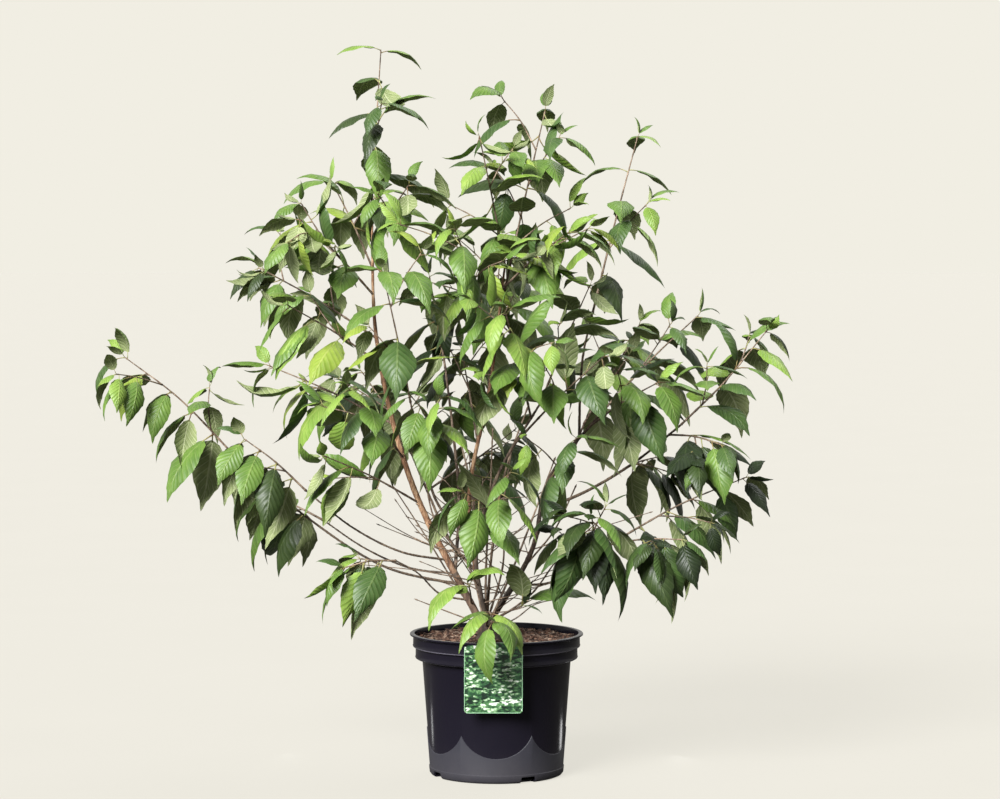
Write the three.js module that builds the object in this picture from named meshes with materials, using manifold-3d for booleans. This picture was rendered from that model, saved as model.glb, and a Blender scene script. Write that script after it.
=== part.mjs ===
// A doublefile viburnum, a young shrub of several stems, in its black nursery container.
// Millimetres, +Z up, the viewer of the plant stands at -Y. The origin is the middle of the
// container's flat underside.

import * as THREE from 'three';
import * as BufferGeometryUtils from 'three/addons/utils/BufferGeometryUtils.js';
import Module from 'manifold-3d';

const wasm = await Module();
wasm.setup();

// Driving sizes of the container
const pot = {
  height: 231,
  lipRadius: 141.5,
  lipThickness: 3,
  collarRadius: 136.5,      // upper collar band
  collarFoot: 209,          // height of the step between the two bands
  bandRadius: 132.5,        // lower collar band
  bandFoot: 190,            // height where the body begins
  bodyTop: 121.5,
  bodyFoot: 107.5,
  wall: 2.2,
  floor: 3,
  footRing: 13,             // height of the proud ring at the very bottom
  scallopLow: 40,           // lowest and highest point of the scalloped edge
  scallopHigh: 76,
  scallops: 6,
  relief: 1,                // how far the lower zone stands proud
  segments: 42,
};
const drain = { count: 4, first: -62, width: 26, height: 10, depth: 22 };
const soil = {
  top: 221, rough: 2.5, level: 46, blend: 30, clear: 0.6, sunk: 3, rings: [14, 34, 62],
};
const card = {
  width: 93, foot: 120, thickness: 1, centre: -5, clear: 0.35,
  tongueWidth: 32, tongueFoot: 224, shoulder: 3,  // the panel ends this far below the bridge
};

// Clearances between neighbours that touch on the real plant
const seam = 0.3;           // a stem and what carries it
const limbRoom = 2.5;       // a leaf and a limb it doesn't grow on
const spaceRoom = 6;        // a leaf and the border of its mass's space
const leafRoom = 8;         // two leaves of one mass
const twigRoom = 2;         // a twig and a limb, on top of limbRoom
const potRoom = 6;          // a leaf and the container or the floor
const cardRoom = 8;         // a leaf and the card

const shortest = 0.01;      // shorter edges left by a join are closed up

// How finely tubes are faceted, and how closely their axes are sampled
const facets = {
  crownSides: 12, crownSteps: 8, thickLimb: 4, thickSides: 7, limbSides: 5, limbStep: 70,
  stemSides: 3, stemSteps: 4, twigSteps: 2, obstacleStep: 7, sites: 7,
};

// The root crown: one short flared foot, cut flat at soil level
const crown = {
  foot: [-14, -2], top: [-21, -3, 256], radius: 14, flare: 9, flareFade: 5, buried: 10,
};

// Stems and boughs. Each leaves the limb it is on at a fraction of that limb's length and ends
// at its tip; low and high bend it at one and two thirds of its way.
const limbs = {
  stem_left: {
    on: 'root_crown', at: 0.72, shift: [-6, -3, 0], tip: [-203, 0, 926],
    low: [-52, -8, 0], high: [-50, 4, 0], radii: [6.6, 1.9],
  },
  stem_right: {
    on: 'root_crown', at: 0.74, shift: [8, 2, 0], tip: [177, -20, 600],
    low: [6, 14, 0], high: [-29, 4, 0], radii: [5.2, 2.3],
  },
  stem_centre: {
    on: 'root_crown', at: 0.74, shift: [0, 9, 0], tip: [14, 20, 833],
    low: [-37, 16, 0], high: [-13, 8, 0], radii: [4.6, 2],
  },
  stem_front: {
    on: 'root_crown', at: 0.74, shift: [3, -9, 0], tip: [72, -60, 612],
    low: [-46, -12, 0], high: [-41, 2, 0], radii: [4.2, 2.1],
  },
  stem_twin: {
    on: 'stem_left', at: 0.13, tip: [-84, 30, 664],
    low: [12, 24, 0], high: [8, 18, 0], radii: [3.4, 1.9],
  },
  fork_left: {
    on: 'stem_front', at: 0.36, tip: [-137, -120, 616],
    low: [-24, -6, -20], high: [-14, 6, -24], radii: [2.8, 1.8],
  },
  bough_right_top: {
    on: 'stem_right', at: 0.84, tip: [157, 10, 755],
    low: [-6, 4, 0], high: [-8, 4, 0], radii: [2.6, 1.8],
  },
  bough_far_right: {
    on: 'stem_right', at: 0.5, tip: [300, -40, 575],
    low: [4, 0, -12], high: [4, 0, -12], radii: [3, 2],
  },
  bough_low_right: {
    on: 'stem_right', at: 0.18, tip: [191, -60, 387],
    low: [4, -4, -20], high: [2, -4, -14], radii: [2.5, 1.7],
  },
  bough_left_long: {
    on: 'stem_left', at: 0.1, tip: [-427, -40, 527],
    low: [0, -12, -40], high: [0, -4, -34], radii: [2.5, 1.7],
  },
  bough_left_high: {
    on: 'stem_left', at: 0.165, tip: [-307, -80, 471],
    low: [0, -16, -22], high: [0, -8, -22], radii: [2.2, 1.6],
  },
  bough_left_low: {
    on: 'stem_left', at: 0.13, tip: [-287, 40, 413],
    low: [0, 12, -22], high: [0, 8, -20], radii: [2.1, 1.5],
  },
  bough_left_front: {
    on: 'stem_left', at: 0.06, tip: [-163, -80, 358],
    low: [-8, -6, -10], high: [-4, -4, 2], radii: [2, 1.5],
  },
  bough_back_left: {
    on: 'stem_centre', at: 0.14, tip: [-150, 235, 520],
    low: [-6, 20, -20], high: [-4, 14, -12], radii: [3, 2],
  },
  bough_back_right: {
    on: 'stem_right', at: 0.3, tip: [150, 240, 560],
    low: [-8, 24, -20], high: [-2, 14, -10], radii: [3, 2],
  },
};

// Masses of leaves. Each has one stem from the limb it is on to its tip, bent up at its middle
// and bare over its first part. Pairs of leaves follow on the rest, and twigs branch off. The
// leaves of a mass with a hang above 1 hang more steeply; taper is what its last ones lose of
// their length, and face turns the pairs from square across their stem towards its tip.
const masses = {
  leader_top: { on: 'stem_left', at: 1, tip: [-187, 0, 1180], pairs: 5, leaf: 108, twigs: 1 },
  leader_left: { on: 'stem_left', at: 0.86, tip: [-272, 110, 966], pairs: 3, leaf: 108, twigs: 1 },
  leader_right: { on: 'stem_left', at: 0.91, tip: [-140, -70, 960], pairs: 3, leaf: 108, twigs: 1 },
  upper_left_light: { on: 'stem_left', at: 0.8, tip: [-312, -120, 905], pairs: 4, leaf: 104, twigs: 2 },
  upper_left_far: { on: 'stem_left', at: 0.7, tip: [-396, 120, 826], pairs: 3, leaf: 98, twigs: 1 },
  left_hanging: { on: 'stem_left', at: 0.64, tip: [-334, -90, 768], pairs: 3, leaf: 118, twigs: 1 },
  far_left: {
    on: 'bough_left_long', at: 1, tip: [-598, -60, 684], sag: 12,
    pairs: 5, leaf: 104, twigs: 2, hang: 1.15,
  },
  left_mid: {
    on: 'bough_left_high', at: 1, tip: [-403, -110, 556],
    pairs: 4, leaf: 112, twigs: 1, hang: 1.15,
  },
  left_low: {
    on: 'bough_left_low', at: 1, tip: [-388, 110, 446],
    pairs: 3, leaf: 120, twigs: 1, hang: 1.15,
  },
  left_pale: { on: 'stem_left', at: 0.31, tip: [-275, -128, 530], pairs: 3, leaf: 106, twigs: 1 },
  left_upper_mid: { on: 'stem_left', at: 0.5, tip: [-372, 60, 664], pairs: 3, leaf: 112, twigs: 1 },
  left_front: { on: 'stem_left', at: 0.42, tip: [-232, -190, 640], pairs: 3, leaf: 112, twigs: 1 },
  low_left: {
    on: 'bough_left_front', at: 1, tip: [-243, -118, 350],
    pairs: 3, leaf: 134, twigs: 1, hang: 1.4,
  },
  left_back: { on: 'stem_left', at: 0.36, tip: [-190, 250, 610], pairs: 4, leaf: 116, twigs: 2 },
  front_left_high: { on: 'fork_left', at: 1, tip: [-178, -200, 823], pairs: 4, leaf: 112, twigs: 2 },
  front_left_low: { on: 'fork_left', at: 0.7, tip: [-86, -240, 628], pairs: 3, leaf: 112, twigs: 1 },
  twin_top: { on: 'stem_twin', at: 1, tip: [-112, 130, 812], pairs: 4, leaf: 114, twigs: 1 },
  centre_dark: { on: 'stem_centre', at: 0.5, tip: [-60, 190, 690], pairs: 4, leaf: 114, twigs: 1 },
  front_centre_high: {
    on: 'stem_front', at: 0.92, tip: [14, -230, 760],
    pairs: 4, leaf: 115, twigs: 1,
  },
  top_centre_right: { on: 'stem_centre', at: 0.85, tip: [80, 70, 1084], pairs: 5, leaf: 110, twigs: 2 },
  top_centre_left: { on: 'stem_centre', at: 1, tip: [-28, -50, 1040], pairs: 4, leaf: 108, twigs: 2 },
  upper_centre_left: {
    on: 'stem_centre', at: 0.78, tip: [-66, -165, 890],
    pairs: 4, leaf: 112, twigs: 1,
  },
  upper_centre_right: {
    on: 'stem_centre', at: 0.93, tip: [114, -140, 884],
    pairs: 4, leaf: 112, twigs: 1,
  },
  right_top: { on: 'bough_right_top', at: 1, tip: [232, 60, 1042], pairs: 5, leaf: 102, twigs: 1 },
  right_upper_mid: { on: 'stem_front', at: 1, tip: [150, -70, 800], pairs: 4, leaf: 114, twigs: 1 },
  right_front: { on: 'stem_front', at: 0.8, tip: [168, -200, 690], pairs: 4, leaf: 114, twigs: 1 },
  right_mid: { on: 'stem_right', at: 1, tip: [332, 60, 748], pairs: 4, leaf: 112, twigs: 1 },
  right_hanging: {
    on: 'stem_right', at: 0.9, tip: [256, -128, 646],
    pairs: 3, leaf: 120, twigs: 1, hang: 1.2,
  },
  far_right: {
    on: 'bough_far_right', at: 1, tip: [438, -40, 728], sag: -8,
    pairs: 5, leaf: 106, twigs: 2,
  },
  right_dark: {
    on: 'bough_far_right', at: 0.9, tip: [356, -146, 548],
    pairs: 4, leaf: 118, twigs: 1, hang: 1.2,
  },
  low_right_far: {
    on: 'bough_low_right', at: 1, tip: [402, -60, 490], sag: 8,
    pairs: 5, leaf: 114, twigs: 1, hang: 1.15,
  },
  right_mid_low: {
    on: 'bough_far_right', at: 0.5, tip: [268, 120, 510],
    pairs: 3, leaf: 116, twigs: 1, hang: 1.15,
  },
  low_right_front: {
    on: 'bough_low_right', at: 0.8, tip: [150, -176, 436],
    pairs: 4, leaf: 122, twigs: 1, hang: 1.2,
  },
  low_right_hanging: {
    on: 'bough_low_right', at: 0.95, tip: [296, -130, 396],
    pairs: 3, leaf: 122, twigs: 1, hang: 1.25,
  },
  front_centre_low: {
    on: 'stem_front', at: 0.3, tip: [22, -204, 510],
    pairs: 3, leaf: 116, twigs: 1, hang: 1.2,
  },
  front_right_low: { on: 'stem_right', at: 0.55, tip: [126, -160, 560], pairs: 3, leaf: 112, twigs: 1 },
  pot_front: {
    on: 'root_crown', at: 0.5, tip: [-6, -186, 270], sag: 22,
    pairs: 3, leaf: 130, twigs: 0, taper: 0.4, hang: 1.3, face: 0.8,
  },
  back_left: { on: 'bough_back_left', at: 1, tip: [-236, 400, 640], pairs: 5, leaf: 116, twigs: 3 },
  back_right: { on: 'bough_back_right', at: 1, tip: [236, 400, 690], pairs: 5, leaf: 116, twigs: 3 },
  back_centre: { on: 'stem_centre', at: 0.62, tip: [10, 300, 880], pairs: 5, leaf: 114, twigs: 3 },
  back_low: { on: 'bough_back_left', at: 0.7, tip: [20, 350, 520], pairs: 4, leaf: 116, twigs: 2 },
};

// Shape of one leaf, as shares of its length
const leafShape = { width: 0.56, thickness: 0.022, arch: 0.1, fold: 0.05, widest: 0.5 };

// How leaves and twigs stand on their stem. Droop is an angle in radians, and the more upright
// the stem is, the less its leaves hang.
const growth = {
  stemRadius: 2.6,
  stemTaper: 0.6,
  twigRadius: 2,
  twigTaper: 0.5,
  bareAtTip: 0.1,           // share of a stem without leaves where it carries on a bough's tip
  bareAtSide: 0.38,         // and where it leaves from a limb's side
  sag: 5,                   // how far the middle of a mass's stem is raised
  startBack: 2,             // a stem that carries on a bough's tip starts this far inside it
  stagger: 2,               // the leaves of a pair root this far up and down from their node
  taper: 0.38,              // share of its length that a leaf at a stem's end loses
  length: [0.86, 0.28],     // least share of the full length and the range above it
  droop: [0.9, 0.55],
  hang: [1.3, 0.5],
  endHang: 0.3,
  forward: 0.35,            // how far a leaf leans along its stem
  face: 0.45,               // and how far its upper side turns that way on the level, in radians
  turn: 0.5,                // how far pairs are turned at random
  tries: 4,                 // how often a leaf is turned and shortened before it is skipped
  spread: 0.3,
  shorter: 0.09,
  twigFrom: 0.35,           // bare share of a twig
  twigPairs: 2,
  twigLeaf: 0.9,
  twigReach: 110,
};

const up = new THREE.Vector3(0, 0, 1);

// The share of a mass's stem that has no leaves: less where it carries on a bough's tip
function barePart(mass) {
  return mass.at === 1 ? growth.bareAtTip : growth.bareAtSide;
}

// A seeded row of numbers from 0 to 1
function numbers(seed) {
  let state = seed >>> 0;
  return () => {
    state = (Math.imul(state, 1664525) + 1013904223) >>> 0;
    return state / 4294967296;
  };
}

// Closed geometry to solid and back. The way back keeps the outer skin of the largest body,
// which fills sealed pockets and drops loose scraps.
function toSolid(geometry) {
  const bare = new THREE.BufferGeometry();
  bare.setAttribute('position', geometry.getAttribute('position'));
  if (geometry.index) bare.setIndex(geometry.index);
  const merged = BufferGeometryUtils.mergeVertices(bare, 1e-4);
  return new wasm.Manifold(new wasm.Mesh({
    numProp: 3,
    vertProperties: new Float32Array(merged.getAttribute('position').array),
    triVerts: new Uint32Array(merged.index.array),
  }));
}

function toGeometry(solid) {
  const bodies = solid.simplify(shortest).decompose().sort((a, b) => b.volume() - a.volume());
  const mesh = bodies[0].getMesh();
  const geometry = new THREE.BufferGeometry();
  geometry.setAttribute('position', new THREE.BufferAttribute(mesh.vertProperties, 3));
  geometry.setIndex(new THREE.BufferAttribute(mesh.triVerts, 1));
  return geometry;
}

function joined(solids) {
  return solids.reduce((whole, piece) => whole.add(piece));
}

// A closed tube along a curve, with a radius for each share of its length
function bentTube(curve, radiusAt, sides, steps) {
  const tube = new THREE.CylinderGeometry(1, 1, 1, sides, steps);
  const frames = curve.computeFrenetFrames(steps, false);
  const corners = tube.getAttribute('position');
  for (let i = 0; i < corners.count; i += 1) {
    const step = Math.round((corners.getY(i) + 0.5) * steps);
    const radius = radiusAt(step / steps);
    const place = curve.getPointAt(step / steps)
      .addScaledVector(frames.normals[step], corners.getX(i) * radius)
      .addScaledVector(frames.binormals[step], -corners.getZ(i) * radius);
    corners.setXYZ(i, place.x, place.y, place.z);
  }
  return toSolid(tube);
}

// A body of revolution round the container's axis from (radius, height) pairs
function turned(profile) {
  const outline = profile.map(([radius, height]) => new THREE.Vector2(radius, height));
  return new THREE.LatheGeometry(outline, pot.segments).rotateX(Math.PI / 2);
}

function block(width, depth, height, x, y, z) {
  return toSolid(new THREE.BoxGeometry(width, depth, height).translate(x, y, z));
}

// The scallops are arcs; arcShare is how far each goes towards a half circle
const arcShare = 0.93;

// Container: two collar bands under a lip, a tapering body, and a lower zone whose upper edge
// runs in scallops
function bodyRadius(height) {
  return pot.bodyFoot + (pot.bodyTop - pot.bodyFoot) * height / pot.bandFoot;
}

function scallopHeight(angle) {
  const pitch = 2 * Math.PI / pot.scallops;
  const turn = angle + Math.PI / 2 + pitch * 10;
  const share = arcShare * Math.abs((turn / pitch + 0.5) % 1 - 0.5) * 2;
  const rise = (1 - Math.sqrt(1 - share * share)) / (1 - Math.sqrt(1 - arcShare * arcShare));
  return pot.scallopLow + (pot.scallopHigh - pot.scallopLow) * rise;
}

function innerProfile(clear) {
  const shrink = pot.wall + clear;
  return [
    [0, pot.floor + clear],
    [bodyRadius(pot.floor) - shrink, pot.floor + clear],
    [bodyRadius(pot.bandFoot) - shrink, pot.bandFoot - pot.wall + clear],
    [pot.bandRadius - 2 - shrink, pot.bandFoot + pot.wall + clear],
    [pot.bandRadius - shrink, pot.collarFoot - 3 + clear],
    [pot.collarRadius - 1 - shrink, pot.collarFoot + pot.wall + clear],
  ];
}

function container() {
  const proud = pot.relief;
  const edge = pot.scallopLow;
  const outer = [
    [0, 0],
    [bodyRadius(0) - 2, 0],
    [bodyRadius(0) + 2 * proud, 4],
    [bodyRadius(pot.footRing) + 2 * proud, pot.footRing],
    [bodyRadius(pot.footRing) + proud, pot.footRing + 1],
    [bodyRadius(edge) + proud, edge],
    [bodyRadius(edge), edge + proud],
    [bodyRadius(pot.bandFoot), pot.bandFoot],
    [pot.bandRadius - 2, pot.bandFoot + 0.5],
    [pot.bandRadius, pot.collarFoot - 0.5],
    [pot.collarRadius - 1, pot.collarFoot],
    [pot.collarRadius, pot.height - pot.lipThickness - 1],
    [pot.lipRadius, pot.height - pot.lipThickness],
    [pot.lipRadius, pot.height - 0.5],
    [pot.lipRadius - 1, pot.height],
    [pot.collarRadius - pot.wall, pot.height],
  ];
  const shell = turned([...outer, ...innerProfile(0).reverse()]);
  const corners = shell.getAttribute('position');
  for (let i = 0; i < corners.count; i += 1) {
    const [x, y, z] = [corners.getX(i), corners.getY(i), corners.getZ(i)];
    const above = z - edge;
    if (above > -1e-3 && above < proud + 1e-3) {
      const height = scallopHeight(Math.atan2(y, x));
      const radius = bodyRadius(height) + proud - above;
      const scale = radius / Math.hypot(x, y);
      corners.setXYZ(i, x * scale, y * scale, height + above);
    }
  }
  let body = toSolid(shell);
  for (let i = 0; i < drain.count; i += 1) {
    const notch = block(drain.depth, drain.width, drain.height * 2, pot.bodyFoot, 0, 0);
    body = body.subtract(notch.rotate([0, 0, drain.first + i * 360 / drain.count]));
  }
  return body;
}

// Potting soil: fills the container to below the lip, level round the root crown
function soilFill() {
  const wall = innerProfile(soil.clear);
  const rim = pot.collarRadius - 1 - pot.wall - soil.clear;
  const rings = [...soil.rings.map((inward) => rim - inward), soil.level, 0];
  const top = [[rim, soil.top - soil.sunk], ...rings.map((radius) => [radius, soil.top])];
  const fill = turned([...wall, ...top]);
  const corners = fill.getAttribute('position');
  for (let i = 0; i < corners.count; i += 1) {
    const [x, y] = [corners.getX(i), corners.getY(i)];
    const reach = THREE.MathUtils.clamp((Math.hypot(x, y) - soil.level) / soil.blend, 0, 1);
    if (corners.getZ(i) > soil.top - soil.sunk - 1 && reach > 0) {
      const waves = Math.sin(x / 13) * Math.cos(y / 11) + Math.sin((x + y) / 23);
      corners.setZ(i, corners.getZ(i) + soil.rough * reach * (waves - 1) / 2);
    }
  }
  return toSolid(fill);
}

// Picture card: hangs flat before the container on a tongue hooked over the lip
function pictureCard() {
  const back = -(pot.lipRadius + card.clear);
  const top = pot.height + card.clear;
  const wall = (pot.collarRadius - pot.wall) * Math.cos(Math.PI / pot.segments) - 2 * card.clear;
  const reach = card.tongueWidth / 2 + Math.abs(card.centre);
  const inside = -Math.sqrt(wall * wall - reach * reach);
  const y = back - card.thickness / 2;
  const thick = card.thickness;
  const height = top - card.shoulder - card.foot;
  const panel = block(card.width, thick, height, card.centre, y, card.foot + height / 2);
  const length = inside + 2 * thick - back;
  const neckHeight = card.shoulder + 1 + thick;
  const neck = block(card.tongueWidth, thick, neckHeight, card.centre, y, top + thick - neckHeight / 2);
  const across = inside + thick - length / 2;
  const bridge = block(card.tongueWidth, length, thick, card.centre, across, top + thick / 2);
  const drop = top + thick - card.tongueFoot;
  const middle = card.tongueFoot + drop / 2;
  const tongue = block(card.tongueWidth, thick, drop, card.centre, inside + thick / 2, middle);
  return joined([panel, neck, bridge, tongue]);
}

// Curves of the limbs and of the stems of the masses
const curves = {};
const start = new THREE.Vector3(...crown.foot, soil.top + seam);
curves.root_crown = new THREE.LineCurve3(start, new THREE.Vector3(...crown.top));

function limbCurve(name) {
  const limb = limbs[name];
  const shift = new THREE.Vector3(...(limb.shift ?? [0, 0, 0]));
  const from = curves[limb.on].getPointAt(limb.at).add(shift);
  const tip = new THREE.Vector3(...limb.tip);
  const low = from.clone().lerp(tip, 1 / 3).add(new THREE.Vector3(...limb.low));
  const high = from.clone().lerp(tip, 2 / 3).add(new THREE.Vector3(...limb.high));
  return new THREE.CatmullRomCurve3([from, low, high, tip]);
}

function massCurve(name) {
  const mass = masses[name];
  const from = curves[mass.on].getPointAt(mass.at);
  const tip = new THREE.Vector3(...mass.tip);
  if (mass.at === 1) from.addScaledVector(curves[mass.on].getTangentAt(1), -growth.startBack);
  const middle = from.clone().lerp(tip, 0.5);
  middle.z += mass.sag ?? growth.sag;
  return new THREE.CatmullRomCurve3([from, middle, tip]);
}

for (const name of Object.keys(limbs)) curves[name] = limbCurve(name);
for (const name of Object.keys(masses)) curves[name] = massCurve(name);

function limbRadius(name, share) {
  if (name === 'root_crown') return crown.radius + crown.flare * Math.exp(-share * crown.flareFade);
  const [thick, thin] = limbs[name].radii;
  return thick + (thin - thick) * share;
}

function massRadius(share) {
  return growth.stemRadius * (1 - growth.stemTaper * share);
}

// What every mass keeps clear of: points with radii down the limbs and all the stems
const obstacles = [];
function addObstacles(name, radiusAt) {
  const count = Math.ceil(curves[name].getLength() / facets.obstacleStep);
  for (let i = 0; i <= count; i += 1) {
    const point = curves[name].getPointAt(i / count);
    obstacles.push({ name, point, radius: radiusAt(i / count) });
  }
}
for (const name of ['root_crown', ...Object.keys(limbs)]) {
  addObstacles(name, (share) => limbRadius(name, share));
}
for (const name of Object.keys(masses)) addObstacles(name, massRadius);
for (let x = -1; x <= 1; x += 0.25) {
  for (let z = 0; z <= 1; z += 0.125) {
    const point = new THREE.Vector3(
      card.centre + x * card.width / 2, -(pot.lipRadius + 1), card.foot + z * (pot.height - card.foot),
    );
    obstacles.push({ name: 'picture_card', point, radius: cardRoom });
  }
}

// The space of a mass is all that lies nearer to its own leafy stem than to another's
const sites = [];
for (const [name, mass] of Object.entries(masses)) {
  const bare = barePart(mass);
  for (let i = 0; i < facets.sites; i += 1) {
    const share = 1 - (1 - bare) * i / (facets.sites - 1);
    sites.push({ name, point: curves[name].getPointAt(share) });
  }
}

function inSpace(name, point) {
  let own = Infinity;
  let other = Infinity;
  for (const site of sites) {
    const distance = site.point.distanceTo(point);
    if (site.name === name) own = Math.min(own, distance);
    else other = Math.min(other, distance);
  }
  return own + spaceRoom < other;
}

function clearOfPot(point) {
  const radius = Math.hypot(point.x, point.y);
  return point.z > pot.height + potRoom || radius > pot.lipRadius + potRoom && point.z > potRoom;
}

// How far along a leaf's swelling is: 0 at its root and tip, 1 where it is widest
function leafLift(along) {
  const { widest } = leafShape;
  return Math.max(0, along < widest ? along / widest : (1 - along) / (1 - widest));
}

// One leaf: where it roots, which way it points, its upper side and its length
function leafPoint(leaf, along, across, above) {
  const shape = leafShape;
  const lift = leafLift(along);
  return leaf.root.clone()
    .addScaledVector(leaf.way, along * leaf.length)
    .addScaledVector(leaf.side, across * lift * leaf.length * shape.width / 2)
    .addScaledVector(leaf.top, (lift * (shape.arch - Math.abs(across) * shape.fold) + above) * leaf.length);
}

function leafSolid(leaf) {
  const { widest, thickness } = leafShape;
  const corners = [
    leafPoint(leaf, 0, 0, 0),
    leafPoint(leaf, widest, 1, 0), leafPoint(leaf, widest, -1, 0),
    leafPoint(leaf, widest, 0, thickness / 2), leafPoint(leaf, widest, 0, -thickness / 2),
    leafPoint(leaf, 1, 0, 0),
  ];
  const faces = [
    [0, 3, 1], [0, 2, 3], [0, 1, 4], [0, 4, 2], [5, 1, 3], [5, 3, 2], [5, 4, 1], [5, 2, 4],
  ];
  const blade = new THREE.BufferGeometry().setFromPoints(corners);
  blade.setIndex(faces.flat());
  return toSolid(blade);
}

// Points all over a leaf, and whether a point lies within some room of a leaf
function leafProbes(leaf) {
  const probes = [leafPoint(leaf, 1, 0, 0)];
  for (const along of [0.24, 0.38, leafShape.widest, 0.66, 0.8, 0.92]) {
    for (const across of [-1, 0, 1]) probes.push(leafPoint(leaf, along, across, 0));
  }
  return probes;
}

function touches(leaf, point, room) {
  const { width, arch, fold } = leafShape;
  const offset = point.clone().sub(leaf.root);
  const along = offset.dot(leaf.way) / leaf.length;
  if (along < -room / leaf.length || along > 1 + room / leaf.length) return false;
  const lift = leafLift(along);
  const across = Math.abs(offset.dot(leaf.side));
  if (across > lift * leaf.length * width / 2 + room) return false;
  const above = offset.dot(leaf.top) - lift * arch * leaf.length + across * 2 * fold / width;
  return Math.abs(above) < room;
}

function leafFits(name, leaf, leaves) {
  const probes = leafProbes(leaf);
  if (!probes.every((point) => inSpace(name, point) && clearOfPot(point))) return false;
  for (const { name: owner, point, radius } of obstacles) {
    if (owner !== name && touches(leaf, point, radius + limbRoom)) return false;
  }
  return !leaves.some((other) => probes.some((point) => touches(other, point, leafRoom))
    || leafProbes(other).some((point) => touches(leaf, point, leafRoom)));
}

function twigFits(name, curve) {
  for (let share = 0.25; share <= 1.001; share += 0.125) {
    const point = curve.getPointAt(Math.min(share, 1));
    if (!inSpace(name, point) || !clearOfPot(point)) return false;
    for (const obstacle of obstacles) {
      if (obstacle.name === name) continue;
      const room = growth.twigRadius + limbRoom + twigRoom;
      if (obstacle.point.distanceTo(point) < obstacle.radius + room) return false;
    }
  }
  return true;
}

// A leaf that roots at a point of a stem and leaves it to one side, drooping by an angle
function makeLeaf(root, along, side, droop, length) {
  const way = side.clone().multiplyScalar(Math.cos(droop))
    .addScaledVector(along, growth.forward)
    .addScaledVector(up, -Math.sin(droop)).normalize();
  const top = up.clone().multiplyScalar(Math.cos(droop)).addScaledVector(side, Math.sin(droop) + 0.01);
  top.addScaledVector(way, -top.dot(way)).normalize();
  return { root, way, top, side: new THREE.Vector3().crossVectors(top, way), length };
}

// Pairs of opposite leaves down a stem, each pair turned from the last; the more a stem lies
// flat the less it turns, so its leaves hang in two rows
function addPairs(name, curve, pairs, bare, size, random, leaves) {
  const { droop, hang, length: [least, range], stagger } = growth;
  const mass = masses[name];
  const face = mass.face ?? growth.face;
  const phase = random() * Math.PI;
  for (let pair = 0; pair < pairs; pair += 1) {
    const share = pairs === 1 ? 1 : bare + (1 - bare) * (pair + 0.5) / (pairs - 0.5);
    const node = Math.min(share, 1 - 2 * stagger / curve.getLength());
    const along = curve.getTangentAt(node);
    const level = new THREE.Vector3().crossVectors(along, up).normalize();
    const raised = new THREE.Vector3().crossVectors(level, along);
    const upright = Math.abs(along.z);
    const ahead = new THREE.Vector3(along.x, along.y, 0);
    const turn = upright * (phase + pair * Math.PI / 2) + (random() - 0.5) * growth.turn;
    const taper = (mass.taper ?? growth.taper) * share * share;
    const length = size * (1 - taper) * (least + range * random());
    const steeper = (mass.hang ?? 1) * (hang[0] - hang[1] * upright) * (1 - growth.endHang * share);
    for (const sense of [1, -1]) {
      const side = level.clone().multiplyScalar(sense * Math.cos(turn))
        .addScaledVector(raised, sense * Math.sin(turn))
        .multiplyScalar(Math.cos(face)).addScaledVector(ahead, Math.sin(face)).normalize();
      const root = curve.getPointAt(node).addScaledVector(along, sense * stagger);
      const angle = (droop[0] + droop[1] * random()) * steeper;
      for (let attempt = 0; attempt < growth.tries; attempt += 1) {
        const spread = (attempt % 2 ? 1 : -1) * growth.spread * attempt;
        const shorter = length * (1 - growth.shorter * attempt);
        const leaf = makeLeaf(root, along, side, angle + spread, shorter);
        if (leafFits(name, leaf, leaves)) {
          leaves.push(leaf);
          break;
        }
      }
    }
  }
}

// A mass of leaves: its stem, its twigs and the leaves on both
function growMass(name, seed) {
  const mass = masses[name];
  const random = numbers(seed);
  const bare = barePart(mass);
  const curve = curves[name];
  const length = curve.getLength();
  const twigs = [];
  const leaves = [];
  for (let i = 0; i < mass.twigs; i += 1) {
    const share = bare + (0.9 - bare) * (i + 0.2 + 0.4 * random()) / mass.twigs;
    const from = curve.getPointAt(share);
    const along = curve.getTangentAt(share);
    const level = new THREE.Vector3().crossVectors(along, up).normalize();
    const raised = new THREE.Vector3().crossVectors(level, along);
    const turn = (i % 2 ? Math.PI : 0) + (random() - 0.5) * 2;
    const reach = Math.min(growth.twigReach, length * (0.3 + 0.2 * random()));
    const side = level.multiplyScalar(Math.cos(turn)).addScaledVector(raised, Math.sin(turn));
    const tip = from.clone().addScaledVector(along, reach * 0.7).addScaledVector(side, reach * 0.75);
    const middle = from.clone().lerp(tip, 0.5).addScaledVector(along, reach * 0.06);
    const twig = new THREE.CatmullRomCurve3([from, middle, tip]);
    if (twigFits(name, twig)) twigs.push(twig);
  }
  addPairs(name, curve, mass.pairs, bare, mass.leaf, random, leaves);
  for (const twig of twigs) {
    const { twigPairs, twigFrom, twigLeaf } = growth;
    addPairs(name, twig, twigPairs, twigFrom, mass.leaf * twigLeaf, random, leaves);
  }
  return { curve, twigs, leaves };
}

function massSolid(name, seed) {
  const { curve, twigs, leaves } = growMass(name, seed);
  const stem = bentTube(curve, massRadius, facets.stemSides, facets.stemSteps);
  const twigRadius = (share) => growth.twigRadius * (1 - growth.twigTaper * share);
  const shoots = twigs.map((twig) => bentTube(twig, twigRadius, facets.stemSides, facets.twigSteps));
  const whole = joined([stem, ...shoots, ...leaves.map(leafSolid)]);
  return whole.subtract(limbSolid(masses[name].on, seam));
}

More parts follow.
